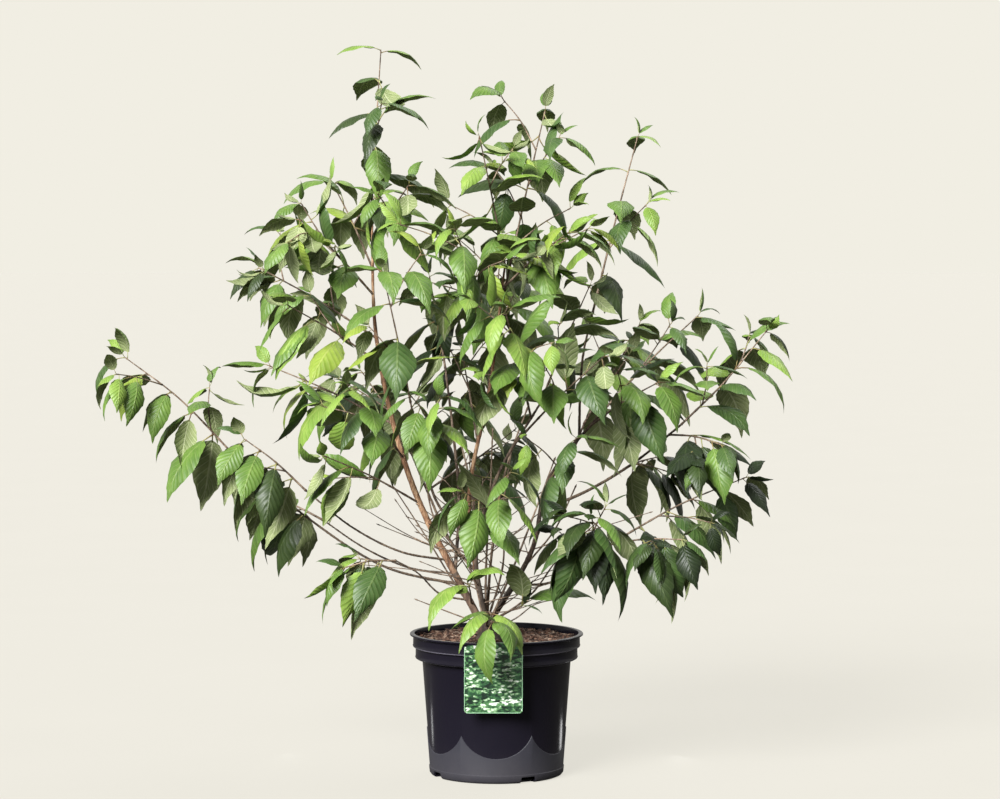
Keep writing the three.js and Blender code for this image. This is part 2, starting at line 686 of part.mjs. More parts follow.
// A limb; grown by a margin it is the cutter that leaves its neighbours clear of it
function limbSolid(name, margin = 0) {
  const curve = curves[name];
  if (name === 'root_crown') {
    const foot = curve.getPointAt(0);
    const sunk = foot.clone().addScaledVector(curve.getTangentAt(0), -crown.buried);
    const whole = new THREE.LineCurve3(sunk, curve.getPointAt(1).addScaledVector(up, margin));
    const length = curve.getLength();
    const radiusAt = (share) => margin
      + limbRadius(name, (share * (length + crown.buried) - crown.buried) / length);
    const below = block(200, 200, 60, 0, 0, foot.z - 30);
    return bentTube(whole, radiusAt, facets.crownSides, facets.crownSteps).subtract(below);
  }
  const steps = Math.max(facets.stemSteps, Math.round(curve.getLength() / facets.limbStep));
  const sides = limbs[name].radii[0] > facets.thickLimb ? facets.thickSides : facets.limbSides;
  const solid = bentTube(curve, (share) => limbRadius(name, share) + margin, sides, steps);
  if (margin === 0) return solid;
  const end = curve.getPointAt(1);
  const cap = new THREE.LineCurve3(end.clone().addScaledVector(curve.getTangentAt(1), -1),
    end.clone().addScaledVector(curve.getTangentAt(1), margin));
  return solid.add(bentTube(cap, () => limbRadius(name, 1) + margin, sides, 1));
}

function limbPiece(name) {
  const below = [limbs[name].on];
  for (const other of Object.keys(limbs)) {
    if (other === name) break;
    if (limbs[other].on === limbs[name].on) below.push(other);
  }
  return below.reduce((solid, other) => solid.subtract(limbSolid(other, seam)), limbSolid(name));
}

// Colours and finish of each kind of piece
const finishes = {
  plastic: { color: 0x1b1a20, roughness: 0.32, metalness: 0 },
  soil: { color: 0x6b4335, roughness: 0.95, metalness: 0 },
  card: { color: 0x7fb07a, roughness: 0.4, metalness: 0 },
  oldBark: { color: 0x8a6240, roughness: 0.85, metalness: 0 },
  youngBark: { color: 0xa38a6a, roughness: 0.8, metalness: 0 },
  leaf: { color: 0x3f7a2a, roughness: 0.5, metalness: 0 },
};

function named(name, solid, finish) {
  const mesh = new THREE.Mesh(toGeometry(solid), new THREE.MeshStandardMaterial(finishes[finish]));
  mesh.name = name;
  return mesh;
}

const plant = new THREE.Group();
plant.add(named('pot', container(), 'plastic'));
plant.add(named('soil', soilFill(), 'soil'));
plant.add(named('picture_card', pictureCard(), 'card'));
plant.add(named('root_crown', limbSolid('root_crown'), 'oldBark'));
for (const name of Object.keys(limbs)) {
  plant.add(named(name, limbPiece(name), name.startsWith('stem') ? 'oldBark' : 'youngBark'));
}
Object.keys(masses).forEach((name, index) => {
  plant.add(named(`leaves_${name}`, massSolid(name, 101 + index), 'leaf'));
});
export default plant;
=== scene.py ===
# Doublefile viburnum in a nursery container: several leaning stems, pleated leaves in pairs,
# a black moulded pot and a hooked picture card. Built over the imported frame, in metres.
import math

import bpy
import numpy as np
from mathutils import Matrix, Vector, noise


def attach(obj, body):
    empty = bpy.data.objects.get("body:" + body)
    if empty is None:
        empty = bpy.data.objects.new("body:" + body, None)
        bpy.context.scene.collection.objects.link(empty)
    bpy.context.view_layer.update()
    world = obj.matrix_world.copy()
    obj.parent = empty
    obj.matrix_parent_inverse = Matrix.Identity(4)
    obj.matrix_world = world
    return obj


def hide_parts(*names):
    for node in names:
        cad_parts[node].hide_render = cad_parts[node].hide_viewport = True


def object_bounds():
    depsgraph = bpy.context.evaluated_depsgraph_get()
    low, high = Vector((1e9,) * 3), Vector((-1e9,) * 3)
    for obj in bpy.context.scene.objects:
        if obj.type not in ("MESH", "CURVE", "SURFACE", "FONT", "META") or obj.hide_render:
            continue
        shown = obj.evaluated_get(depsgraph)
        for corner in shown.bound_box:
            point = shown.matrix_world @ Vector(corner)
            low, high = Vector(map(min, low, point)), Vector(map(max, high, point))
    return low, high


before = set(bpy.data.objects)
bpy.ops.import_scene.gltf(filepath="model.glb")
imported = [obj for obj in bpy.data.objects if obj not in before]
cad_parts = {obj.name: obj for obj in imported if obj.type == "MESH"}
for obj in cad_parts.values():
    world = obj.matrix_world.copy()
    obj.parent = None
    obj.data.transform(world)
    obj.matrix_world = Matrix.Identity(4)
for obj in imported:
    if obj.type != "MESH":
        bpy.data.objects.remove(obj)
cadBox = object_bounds()
print("frame loaded", cadBox)

mm = 0.001
up = np.array([0.0, 0.0, 1.0])


# Helpers
def linear(hexColour):  # sRGB hex to linear RGBA
    parts = [int(hexColour[i:i + 2], 16) / 255 for i in (1, 3, 5)]
    return [c / 12.92 if c <= 0.04045 else ((c + 0.055) / 1.055) ** 2.4 for c in parts] + [1.0]


def deselectAll():
    if bpy.context.mode != "OBJECT":
        bpy.ops.object.mode_set(mode="OBJECT")
    bpy.ops.object.select_all(action="DESELECT")


def pick(piece):  # the one selected and active object
    deselectAll()
    piece.select_set(True)
    bpy.context.view_layer.objects.active = piece


def settle(piece):  # origin at the frame's origin, place kept in the mesh
    pick(piece)
    bpy.ops.object.transform_apply(location=True, rotation=True, scale=True)


def applyModifier(piece, kind, **settings):
    modifier = piece.modifiers.new(kind.lower(), kind)
    for key, value in settings.items():
        setattr(modifier, key, value)
    pick(piece)
    bpy.ops.object.modifier_apply(modifier=modifier.name)


def smoothByAngle(piece, degrees):
    pick(piece)
    bpy.ops.object.shade_smooth_by_angle(angle=math.radians(degrees))


def meshPiece(name, points, faces, materials, faceSlots=None, uv=None, smooth=True):
    mesh = bpy.data.meshes.new(name)
    mesh.from_pydata(points, [], faces)
    for material in materials:
        mesh.materials.append(material)
    if faceSlots is not None:
        mesh.polygons.foreach_set("material_index", np.asarray(faceSlots, dtype=np.int32))
    if uv is not None:
        layer = mesh.uv_layers.new(name="leafMap")
        loops = np.empty(len(mesh.loops), dtype=np.int32)
        mesh.loops.foreach_get("vertex_index", loops)
        layer.data.foreach_set("uv", np.asarray(uv)[loops].ravel())
    mesh.polygons.foreach_set("use_smooth", np.full(len(mesh.polygons), smooth))
    mesh.update()
    piece = bpy.data.objects.new(name, mesh)
    bpy.context.collection.objects.link(piece)
    return piece


def ready(piece, slot, *nodes):  # rides on the plant's one body and stands for its solids
    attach(piece, "root")
    if nodes:
        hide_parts(*nodes)
    print("piece", piece.name, len(piece.data.polygons), "faces")


def plug(tree, made, inputs):  # a value, a socket or a node's own result into each socket
    for key, value in inputs.items() if isinstance(inputs, dict) else enumerate(inputs):
        if isinstance(value, bpy.types.Node):
            value = next(socket for socket in value.outputs if socket.enabled)
        if isinstance(value, bpy.types.NodeSocket):
            tree.links.new(value, made.inputs[key])
        else:
            made.inputs[key].default_value = value


def node(tree, kind, inputs=(), stops=(), **settings):  # one node with its settings and its links
    made = tree.nodes.new("ShaderNode" + kind)
    for key, value in settings.items():
        setattr(made, key, value)
    plug(tree, made, inputs)
    if stops:
        elements = made.color_ramp.elements
        while len(elements) < len(stops):
            elements.new(0.5)
        for element, (place, colour) in zip(elements, stops):
            element.position, element.color = place, linear(colour)
    return made


def newMaterial(name):  # with its shader, and the place on the piece for its patterns
    material = bpy.data.materials.new(name)
    material.use_nodes = True
    tree = material.node_tree
    return material, tree, tree.nodes["Principled BSDF"], node(tree, "TexCoord").outputs["Object"]


# Camera: the photograph's view from 5 m, a little above the plant's middle
cameraPlace = {"distance": 5.0, "height": 0.87, "tilt": 2.95, "turn": -0.065, "lens": 110.7}
bpy.ops.object.camera_add(
    location=(0, -cameraPlace["distance"], cameraPlace["height"]),
    rotation=(math.radians(90 - cameraPlace["tilt"]), 0, math.radians(cameraPlace["turn"])),
)
camera = bpy.context.object
camera.data.lens = cameraPlace["lens"]
camera.data.sensor_width = 36
bpy.context.scene.camera = camera


# Growth. The rows and the rule are the source's own, in millimetres; the masses that neither
# start at a limb's end nor are listed as open grow more pairs and twigs here, within the same reach.
potSize = {
    "height": 231, "lip": 141.5, "collar": 136.5, "collarFoot": 209, "band": 132.5,
    "bandFoot": 190, "bodyTop": 121.5, "bodyFoot": 107.5, "wall": 2.2, "floor": 3,
    "footRing": 13, "middle": 110, "scallopLow": 40, "scallopHigh": 76, "scallops": 6, "relief": 1,
}
soilTop = 221
crown = {"foot": (-14, -2), "top": (-21, -3, 256), "radius": 14, "flare": 9, "flareFade": 5}
cardSize = {"width": 93, "foot": 120, "centre": -5, "tongue": 32}

limbs = {  # parent, place on it, tip, two bends, radii at foot and tip, shift of the foot
    "stem_left": ("root_crown", 0.72, (-203, 0, 926), (-52, -8, 0), (-50, 4, 0), (6.6, 1.9), (-6, -3, 0)),
    "stem_right": ("root_crown", 0.74, (177, -20, 600), (6, 14, 0), (-29, 4, 0), (5.2, 2.3), (8, 2, 0)),
    "stem_centre": ("root_crown", 0.74, (14, 20, 833), (-37, 16, 0), (-13, 8, 0), (4.6, 2), (0, 9, 0)),
    "stem_front": ("root_crown", 0.74, (72, -60, 612), (-46, -12, 0), (-41, 2, 0), (4.2, 2.1), (3, -9, 0)),
    "stem_twin": ("stem_left", 0.13, (-84, 30, 664), (12, 24, 0), (8, 18, 0), (3.4, 1.9)),
    "fork_left": ("stem_front", 0.36, (-137, -120, 616), (-24, -6, -20), (-14, 6, -24), (2.8, 1.8)),
    "bough_right_top": ("stem_right", 0.84, (157, 10, 755), (-6, 4, 0), (-8, 4, 0), (2.6, 1.8)),
    "bough_far_right": ("stem_right", 0.5, (300, -40, 575), (4, 0, -12), (4, 0, -12), (3, 2)),
    "bough_low_right": ("stem_right", 0.18, (191, -60, 387), (4, -4, -20), (2, -4, -14), (2.5, 1.7)),
    "bough_left_long": ("stem_left", 0.1, (-427, -40, 527), (0, -12, -40), (0, -4, -34), (2.5, 1.7)),
    "bough_left_high": ("stem_left", 0.165, (-307, -80, 471), (0, -16, -22), (0, -8, -22), (2.2, 1.6)),
    "bough_left_low": ("stem_left", 0.13, (-287, 40, 413), (0, 12, -22), (0, 8, -20), (2.1, 1.5)),
    "bough_left_front": ("stem_left", 0.06, (-163, -80, 358), (-8, -6, -10), (-4, -4, 2), (2, 1.5)),
    "bough_back_left": ("stem_centre", 0.14, (-150, 235, 520), (-6, 20, -20), (-4, 14, -12), (3, 2)),
    "bough_back_right": ("stem_right", 0.3, (150, 240, 560), (-8, 24, -20), (-2, 14, -10), (3, 2)),
}

masses = {  # limb, place on it, tip, pairs, leaf, twigs, sag, leaf colour (bright is painted light, dark is painted shade)
    "leader_top": ("stem_left", 1, (-187, 0, 1180), 5, 108, 1, 5, "mid"),
    "leader_left": ("stem_left", 0.86, (-272, 110, 966), 3, 108, 1, 5, "bright"),
    "leader_right": ("stem_left", 0.91, (-140, -70, 960), 3, 108, 1, 5, "mid"),
    "upper_left_light": ("stem_left", 0.8, (-312, -120, 905), 4, 104, 2, 5, "bright"),
    "upper_left_far": ("stem_left", 0.7, (-396, 120, 826), 3, 98, 1, 5, "mid"),
    "left_hanging": ("stem_left", 0.64, (-334, -90, 768), 3, 118, 1, 5, "bright"),
    "far_left": ("bough_left_long", 1, (-598, -60, 684), 5, 104, 2, 12, "bright"),
    "left_mid": ("bough_left_high", 1, (-403, -110, 556), 4, 112, 1, 5, "mid"),
    "left_low": ("bough_left_low", 1, (-388, 110, 446), 3, 120, 1, 5, "dark"),
    "left_pale": ("stem_left", 0.31, (-275, -128, 530), 3, 106, 1, 5, "bright"),
    "left_upper_mid": ("stem_left", 0.5, (-372, 60, 664), 3, 112, 1, 5, "bright"),
    "left_front": ("stem_left", 0.42, (-232, -190, 640), 3, 112, 1, 5, "bright"),
    "low_left": ("bough_left_front", 1, (-243, -118, 350), 3, 134, 1, 5, "mid"),
    "left_back": ("stem_left", 0.36, (-190, 250, 610), 4, 116, 2, 5, "dark"),
    "front_left_high": ("fork_left", 1, (-178, -200, 823), 4, 112, 2, 5, "bright"),
    "front_left_low": ("fork_left", 0.7, (-86, -240, 628), 3, 112, 1, 5, "bright"),
    "twin_top": ("stem_twin", 1, (-112, 130, 812), 4, 114, 1, 5, "dark"),
    "centre_dark": ("stem_centre", 0.5, (-60, 190, 690), 4, 114, 1, 5, "dark"),
    "front_centre_high": ("stem_front", 0.92, (14, -230, 760), 4, 115, 1, 5, "bright"),
    "top_centre_right": ("stem_centre", 0.85, (80, 70, 1084), 5, 110, 2, 5, "mid"),
    "top_centre_left": ("stem_centre", 1, (-28, -50, 1040), 4, 108, 2, 5, "bright"),
    "upper_centre_left": ("stem_centre", 0.78, (-66, -165, 890), 4, 112, 1, 5, "bright"),
    "upper_centre_right": ("stem_centre", 0.93, (114, -140, 884), 4, 112, 1, 5, "bright"),
    "right_top": ("bough_right_top", 1, (232, 60, 1042), 5, 102, 1, 5, "mid"),
    "right_upper_mid": ("stem_front", 1, (150, -70, 800), 4, 114, 1, 5, "mid"),
    "right_front": ("stem_front", 0.8, (168, -200, 690), 4, 114, 1, 5, "dark"),
    "right_mid": ("stem_right", 1, (332, 60, 748), 4, 112, 1, 5, "dark"),
    "right_hanging": ("stem_right", 0.9, (256, -128, 646), 3, 120, 1, 5, "mid"),
    "far_right": ("bough_far_right", 1, (438, -40, 728), 5, 106, 2, -8, "mid"),
    "right_dark": ("bough_far_right", 0.9, (356, -146, 548), 4, 118, 1, 5, "dark"),
    "low_right_far": ("bough_low_right", 1, (402, -60, 490), 5, 114, 1, 8, "dark"),
    "right_mid_low": ("bough_far_right", 0.5, (268, 120, 510), 3, 116, 1, 5, "dark"),
    "low_right_front": ("bough_low_right", 0.8, (150, -176, 436), 4, 122, 1, 5, "dark"),
    "low_right_hanging": ("bough_low_right", 0.95, (296, -130, 396), 3, 122, 1, 5, "dark"),
    "front_centre_low": ("stem_front", 0.3, (22, -204, 510), 3, 116, 1, 5, "mid"),
    "front_right_low": ("stem_right", 0.55, (126, -160, 560), 3, 112, 1, 5, "mid"),
    "pot_front": ("root_crown", 0.5, (-6, -186, 270), 3, 130, 0, 22, "bright"),
    "back_left": ("bough_back_left", 1, (-236, 400, 640), 5, 116, 3, 5, "mid"),
    "back_right": ("bough_back_right", 1, (236, 400, 690), 5, 116, 3, 5, "mid"),
    "back_centre": ("stem_centre", 0.62, (10, 300, 880), 5, 114, 3, 5, "mid"),
    "back_low": ("bough_back_left", 0.7, (20, 350, 520), 4, 116, 2, 5, "dark"),
}

lowShoots = {  # short leafy shoots low down, in rows like those of the masses
    "low_shoot_left": ("stem_left", 0.05, (-44, -108, 318), 1, 128, 0, 6, "mid"),
    "low_shoot_right": ("root_crown", 0.6, (42, -62, 282), 1, 118, 0, 4, "dark"),
}
grown = {**masses, **lowShoots}

facing = {"pot_front": 0.8, "low_shoot_left": 0.7, "low_shoot_right": 0.2}
endTaper = {"pot_front": 0.4, "low_shoot_left": 0.0, "low_shoot_right": 0.0}
hanging = {  # how much steeper the leaves of these masses hang
    "pot_front": 1.3, "low_shoot_left": 1.2, "low_shoot_right": 0.5, "low_right_front": 1.2,
    "low_right_hanging": 1.25, "right_hanging": 1.2, "right_dark": 1.2, "low_left": 1.4,
    "left_low": 1.15, "far_left": 1.15, "front_centre_low": 1.2, "low_right_far": 1.15,
    "right_mid_low": 1.15, "left_mid": 1.15,
}
openMasses = {  # these grow no more pairs and twigs than the source gives them
    "right_mid", "right_dark", "right_front", "right_hanging", "right_mid_low", "low_right_far",
    "low_right_hanging", "front_right_low", "front_centre_low", "front_left_low", "left_hanging",
    "left_mid", "left_back", "left_upper_mid", "left_front", "left_pale", "low_left", "leader_left",
    "leader_right", "back_left", "back_right", "pot_front", "low_shoot_left", "low_shoot_right",
}
growth = {
    "morePairs": (0, 1), "moreTwigs": (0, 2), "leafShare": 1.17, "stagger": 2, "tries": 5,
    "stemRadius": 2.0, "stemTaper": 0.55, "twigRadius": 1.4, "bare": 0.3, "bareAtTip": 0.1,
    "spaceRoom": -40, "leafRoom": 1.6, "limbRoom": 1.5, "twigRoom": 2, "potRoom": 6, "boxRoom": 6,
    "sites": 7, "probeStep": 7, "cardProbes": 9, "cardRoom": 8.0, "sunk": 2, "seed": 101,
    "twigProbes": (0.25, 0.375, 0.5, 0.625, 0.75, 0.875, 1.0),
}
leafRule = {  # shares of the leaf's length, and angles in radians
    "width": 0.46, "arch": 0.12, "fold": 0.05, "widest": 0.45, "taper": 0.38, "face": 0.45,
    "droop": (0.9, 0.55), "hang": (1.3, 0.5), "ahead": 0.35, "vary": (0.86, 0.28), "turn": 0.5,
    "spread": 0.3, "shrink": 0.06, "flatter": 0.3,
}
twigRule = {  # shares of the shoot it grows on, and the longest one
    "last": 0.9, "place": (0.2, 0.4), "turn": 2, "reach": (0.3, 0.2), "longest": 110,
    "ahead": 0.7, "aside": 0.75, "bow": 0.06, "pairs": 2, "bare": 0.35, "leafSize": 0.9,
}
tipRule = {"ahead": 0.8, "aside": (0.4, 0.3), "back": -0.6, "size": (0.26, 0.14)}


def seeded(seed):  # the source's row of numbers from 0 to 1
    state = [seed]

    def following():
        state[0] = (state[0] * 1664525 + 1013904223) & 0xFFFFFFFF
        return state[0] / 4294967296
    return following


def makeCurve(points):  # a smooth curve through points, measured along its length
    points = [np.array(p, dtype=float) for p in points]
    ends = [2 * points[0] - points[1], *points, 2 * points[-1] - points[-2]]
    samples = []
    for p0, p1, p2, p3 in zip(ends, ends[1:], ends[2:], ends[3:]):
        a, b, c = (max(np.linalg.norm(q - p) ** 0.5, 1e-4) for p, q in ((p0, p1), (p1, p2), (p2, p3)))
        go = ((p1 - p0) / a - (p2 - p0) / (a + b) + (p2 - p1) / b) * b
        come = ((p2 - p1) / b - (p3 - p1) / (b + c) + (p3 - p2) / c) * b
        t = np.linspace(0, 1, 61)[:, None]
        bend = (2 * p1 - 2 * p2 + go + come) * t ** 3 + (-3 * p1 + 3 * p2 - 2 * go - come) * t ** 2
        samples.append(bend + go * t + p1)
    samples = np.concatenate(samples)
    steps = np.linalg.norm(np.diff(samples, axis=0), axis=1)
    keep = np.concatenate([[True], steps > 1e-9])
    samples = samples[keep]
    reach = np.concatenate([[0], np.cumsum(np.linalg.norm(np.diff(samples, axis=0), axis=1))])
    return samples, reach


def pointAt(curve, share):
    samples, reach = curve
    at = np.asarray(share) * reach[-1]
    return np.stack([np.interp(at, reach, samples[:, k]) for k in range(3)], axis=-1)


def tangentAt(curve, share):
    low, high = max(share - 0.002, 0), min(share + 0.002, 1)
    way = pointAt(curve, high) - pointAt(curve, low)
    return way / np.linalg.norm(way)


curves = {"root_crown": makeCurve([(*crown["foot"], soilTop + 0.3), crown["top"]])}
for name, (parent, at, tip, low, high, radii, *shift) in limbs.items():
    start = pointAt(curves[parent], at) + np.array(shift[0] if shift else (0, 0, 0))
    tip = np.array(tip, dtype=float)
    lower = start + (tip - start) / 3 + np.array(low)
    upper = start + (tip - start) * 2 / 3 + np.array(high)
    curves[name] = makeCurve([start, lower, upper, tip])
for name, (parent, at, tip, *_, sag, colour) in grown.items():
    start = pointAt(curves[parent], at)
    if at == 1:
        start = start - growth["sunk"] * tangentAt(curves[parent], 1)
    middle = (start + np.array(tip)) / 2 + sag * up
    curves[name] = makeCurve([start, middle, tip])


def limbRadius(name, share):
    if name == "root_crown":
        return crown["radius"] + crown["flare"] * np.exp(-crown["flareFade"] * share)
    thick, thin = limbs[name][5]
    return thick + (thin - thick) * share


def massRadius(share):
    return growth["stemRadius"] * (1 - growth["stemTaper"] * share)


def barePart(name):  # share of a mass's stem that carries no leaves
    return growth["bareAtTip" if grown[name][1] == 1 else "bare"]


obstacleOwners, obstaclePoints, obstacleRadii = [], [], []
for name in ["root_crown", *limbs, *grown]:
    count = math.ceil(curves[name][1][-1] / growth["probeStep"])
    shares = np.arange(count + 1) / count
    obstacleOwners += [name] * (count + 1)
    obstaclePoints.append(pointAt(curves[name], shares))
    obstacleRadii.append(massRadius(shares) if name in grown else limbRadius(name, shares))
cardX, cardZ = np.meshgrid(*(np.linspace(low, 1, growth["cardProbes"]) for low in (-1, 0)))
cardPoints = np.stack([
    cardSize["centre"] + cardX.ravel() * cardSize["width"] / 2,
    np.full(cardX.size, -(potSize["lip"] + 1)),
    cardSize["foot"] + cardZ.ravel() * (potSize["height"] - cardSize["foot"]),
], axis=1)
obstacleOwners = np.array(obstacleOwners + ["card"] * cardX.size)
obstaclePoints = np.concatenate([*obstaclePoints, cardPoints])
obstacleRadii = np.concatenate([*obstacleRadii, np.full(cardX.size, growth["cardRoom"])])

siteOwners, sitePoints = [], []
for name in grown:
    shares = 1 - (1 - barePart(name)) * np.arange(growth["sites"]) / (growth["sites"] - 1)
    siteOwners += [name] * growth["sites"]
    sitePoints.append(pointAt(curves[name], shares))
siteOwners, sitePoints = np.array(siteOwners), np.concatenate(sitePoints)


def inSpace(name, points):  # nearer to the mass's own stem than to another's, within some room
    distance = np.linalg.norm(points[:, None] - sitePoints[None], axis=2)
    own = siteOwners == name
    return bool(np.all(distance[:, own].min(1) + growth["spaceRoom"] < distance[:, ~own].min(1)))


lowest, highest = (np.array(corner) / mm for corner in cadBox)


def withinReach(points):  # the solids' own box, with a little room
    room = growth["boxRoom"]
    return bool(np.all((points > lowest - room) & (points < highest + room)))


def clearOfPot(points):
    radius = np.hypot(points[:, 0], points[:, 1])
    room = growth["potRoom"]
    over = points[:, 2] > potSize["height"] + room
    return bool(np.all(over | ((radius > potSize["lip"] + room) & (points[:, 2] > room))))


def leafLift(along):  # outline and arch of the source's simple leaf
    widest = leafRule["widest"]
    return np.maximum(0, np.where(along < widest, along / widest, (1 - along) / (1 - widest)))


probeRows = (0.24, 0.38, 0.5, 0.66, 0.8, 0.92)
probeAlong = np.array([1.0] + [along for along in probeRows for _ in range(3)])
probeAcross = np.array([0.0] + [-1.0, 0.0, 1.0] * len(probeRows))


def leafProbes(leaf):  # points on a leaf: its tip, then its edges and midrib in rows
    lift = leafLift(probeAlong)
    size = leaf["length"]
    above = lift * (leafRule["arch"] - np.abs(probeAcross) * leafRule["fold"]) * size
    return (leaf["root"] + np.outer(probeAlong * size, leaf["way"])
            + np.outer(probeAcross * lift * size * leafRule["width"] / 2, leaf["side"])
            + np.outer(above, leaf["top"]))


def touches(leaf, points, room):  # whether any point lies within room of the leaf's face
    offset = points - leaf["root"]
    size = leaf["length"]
    along = offset @ leaf["way"] / size
    lift = leafLift(along)
    across = np.abs(offset @ leaf["side"])
    fold = across * 2 * leafRule["fold"] / leafRule["width"]
    above = offset @ leaf["top"] - lift * leafRule["arch"] * size + fold
    near = (along > -room / size) & (along < 1 + room / size)
    inside = across < lift * size * leafRule["width"] / 2 + room
    return bool(np.any(near & inside & (np.abs(above) < room)))


def leafFits(name, leaf, leaves):
    probes = leafProbes(leaf)
    if not clearOfPot(probes) or not withinReach(probes) or not inSpace(name, probes):
        return False
    others = obstacleOwners != name
    if touches(leaf, obstaclePoints[others], obstacleRadii[others] + growth["limbRoom"]):
        return False
    for other in leaves:
        room = growth["leafRoom"]
        if touches(other, probes, room) or touches(leaf, other["probes"], room):
            return False
    leaf["probes"] = probes
    return True


def twigFits(name, curve):
    points = pointAt(curve, growth["twigProbes"])
    if not inSpace(name, points) or not clearOfPot(points):
        return False
    others = obstacleOwners != name
    distance = np.linalg.norm(points[:, None] - obstaclePoints[others][None], axis=2)
    room = growth["twigRadius"] + growth["limbRoom"] + growth["twigRoom"]
    return bool(np.all(distance > obstacleRadii[others] + room))


def sideWays(along):  # level and raised directions square to a shoot
    level = np.cross(along, up)
    level /= np.linalg.norm(level)
    return level, np.cross(level, along)


def makeLeaf(root, along, side, droop, length):
    way = side * math.cos(droop) + along * leafRule["ahead"] - up * math.sin(droop)
    way /= np.linalg.norm(way)
    top = up * math.cos(droop) + side * (math.sin(droop) + 0.01)
    top -= way * (top @ way)
    top /= np.linalg.norm(top)
    return {"root": root, "way": way, "top": top, "side": np.cross(top, way), "length": length}


def varied(key, random, rule=leafRule):  # the least of a rule's value, and how much may be added
    least, more = rule[key]
    return least + more * random()


def addPairs(name, curve, pairs, bare, size, random, leaves):  # opposite leaves, each pair turned
    phase = random() * math.pi
    span = curve[1][-1]
    face = facing.get(name, leafRule["face"])
    for pair in range(pairs):
        share = 1 if pairs == 1 else bare + (1 - bare) * (pair + 0.5) / (pairs - 0.5)
        place = min(share, 1 - 2 * growth["stagger"] / span)
        along = tangentAt(curve, place)
        level, raised = sideWays(along)
        turn = abs(along[2]) * (phase + pair * math.pi / 2) + (random() - 0.5) * leafRule["turn"]
        taper = endTaper.get(name, leafRule["taper"]) * share * share
        length = size * (1 - taper) * varied("vary", random)
        hang = hanging.get(name, 1) * (leafRule["hang"][0] - leafRule["hang"][1] * abs(along[2]))
        for sense in (1, -1):
            side = level * sense * math.cos(turn) + raised * sense * math.sin(turn)
            side = side * math.cos(face) + along * (1, 1, 0) * math.sin(face)
            side /= np.linalg.norm(side)
            root = pointAt(curve, place) + along * sense * growth["stagger"]
            droop = varied("droop", random) * hang * (1 - leafRule["flatter"] * share)
            for attempt in range(growth["tries"]):
                spread = (1 if attempt % 2 else -1) * leafRule["spread"] * attempt
                shorter = length * (1 - leafRule["shrink"] * attempt)
                leaf = makeLeaf(root, along, side, droop + spread, shorter)
                if leafFits(name, leaf, leaves):
                    leaf["mass"] = name
                    leaves.append(leaf)
                    break


def addTip(name, curve, size, random, leaves):  # the small unfolding pair at a shoot's end
    along = tangentAt(curve, 1)
    level, raised = sideWays(along)
    turn = random() * math.pi
    for sense in (1, -1):
        side = (level * math.cos(turn) + raised * math.sin(turn)) * sense
        way = along * tipRule["ahead"] + side * varied("aside", random, tipRule)
        way /= np.linalg.norm(way)
        top = up + side * tipRule["back"]
        top -= way * (top @ way)
        top /= np.linalg.norm(top)
        leaf = {
            "mass": name, "root": pointAt(curve, 1), "way": way, "top": top, "side": np.cross(top, way),
            "length": size * varied("size", random, tipRule),
        }
        leaf["probes"] = leafProbes(leaf)
        if withinReach(leaf["probes"]):
            leaves.append(leaf)


def growMass(name, seed):  # the twigs and leaves of one mass
    _, at, _, pairs, leafSize, twigCount, *_ = grown[name]
    random = seeded(seed)
    bare = barePart(name)
    curve = curves[name]
    twigs, leaves = [], []
    denser = 0 if at == 1 or name in openMasses else 1
    twigCount += growth["moreTwigs"][denser]
    pairs += growth["morePairs"][denser]
    rule = twigRule
    for i in range(twigCount):
        share = bare + (rule["last"] - bare) * (i + varied("place", random, rule)) / twigCount
        start = pointAt(curve, share)
        along = tangentAt(curve, share)
        level, raised = sideWays(along)
        turn = (math.pi if i % 2 else 0) + (random() - 0.5) * rule["turn"]
        reach = min(rule["longest"], curve[1][-1] * varied("reach", random, rule))
        side = level * math.cos(turn) + raised * math.sin(turn)
        end = start + along * reach * rule["ahead"] + side * reach * rule["aside"]
        twig = makeCurve([start, (start + end) / 2 + along * reach * rule["bow"], end])
        if twigFits(name, twig):
            twigs.append(twig)
    size = leafSize * growth["leafShare"]
    addPairs(name, curve, pairs, bare, size, random, leaves)
    for twig in twigs:
        addPairs(name, twig, rule["pairs"], rule["bare"], size * rule["leafSize"], random, leaves)
    for shoot in [curve, *twigs]:
        addTip(name, shoot, size, random, leaves)
    return twigs, leaves


allTwigs, allLeaves = [], []
for index, name in enumerate(grown):
    twigs, leaves = growMass(name, growth["seed"] + index)
    allTwigs += twigs
    allLeaves += leaves
print("grown", len(allLeaves), "leaves", len(allTwigs), "twigs")


# Tubes of the stems and twigs, as arrays
def tubeArrays(curve, radiusAt, sides, spacing):
    count = max(2, int(curve[1][-1] / spacing)) + 1
    shares = np.linspace(0, 1, count)
    centres = pointAt(curve, shares)
    ways = np.gradient(centres, axis=0)
    ways /= np.linalg.norm(ways, axis=1, keepdims=True)
    level, raised = sideWays(ways[0])
    rings = []
    radii = radiusAt(shares)
    turns = np.arange(sides) * 2 * math.pi / sides
    for centre, way, radius in zip(centres, ways, radii):
        level = level - way * (level @ way)
        level /= np.linalg.norm(level)
        raised = np.cross(way, level)
        ring = np.outer(np.cos(turns), level) + np.outer(np.sin(turns), raised)
        rings.append(centre + radius * ring)
    points = np.concatenate(rings)
    faces = [
        (low + s, low + (s + 1) % sides, low + sides + (s + 1) % sides, low + sides + s)
        for low in range(0, (count - 1) * sides, sides) for s in range(sides)
    ]
    faces.append(tuple(range(sides))[::-1])
    faces.append(tuple((count - 1) * sides + s for s in range(sides)))
    return points, faces


def joinArrays(parts):  # many small meshes in mm as one in metres
    points, faces, offset = [], [], 0
    for partPoints, partFaces in parts:
        points.append(partPoints)
        faces += [tuple(i + offset for i in face) for face in partFaces]
        offset += len(partPoints)
    return np.concatenate(points) * mm, faces


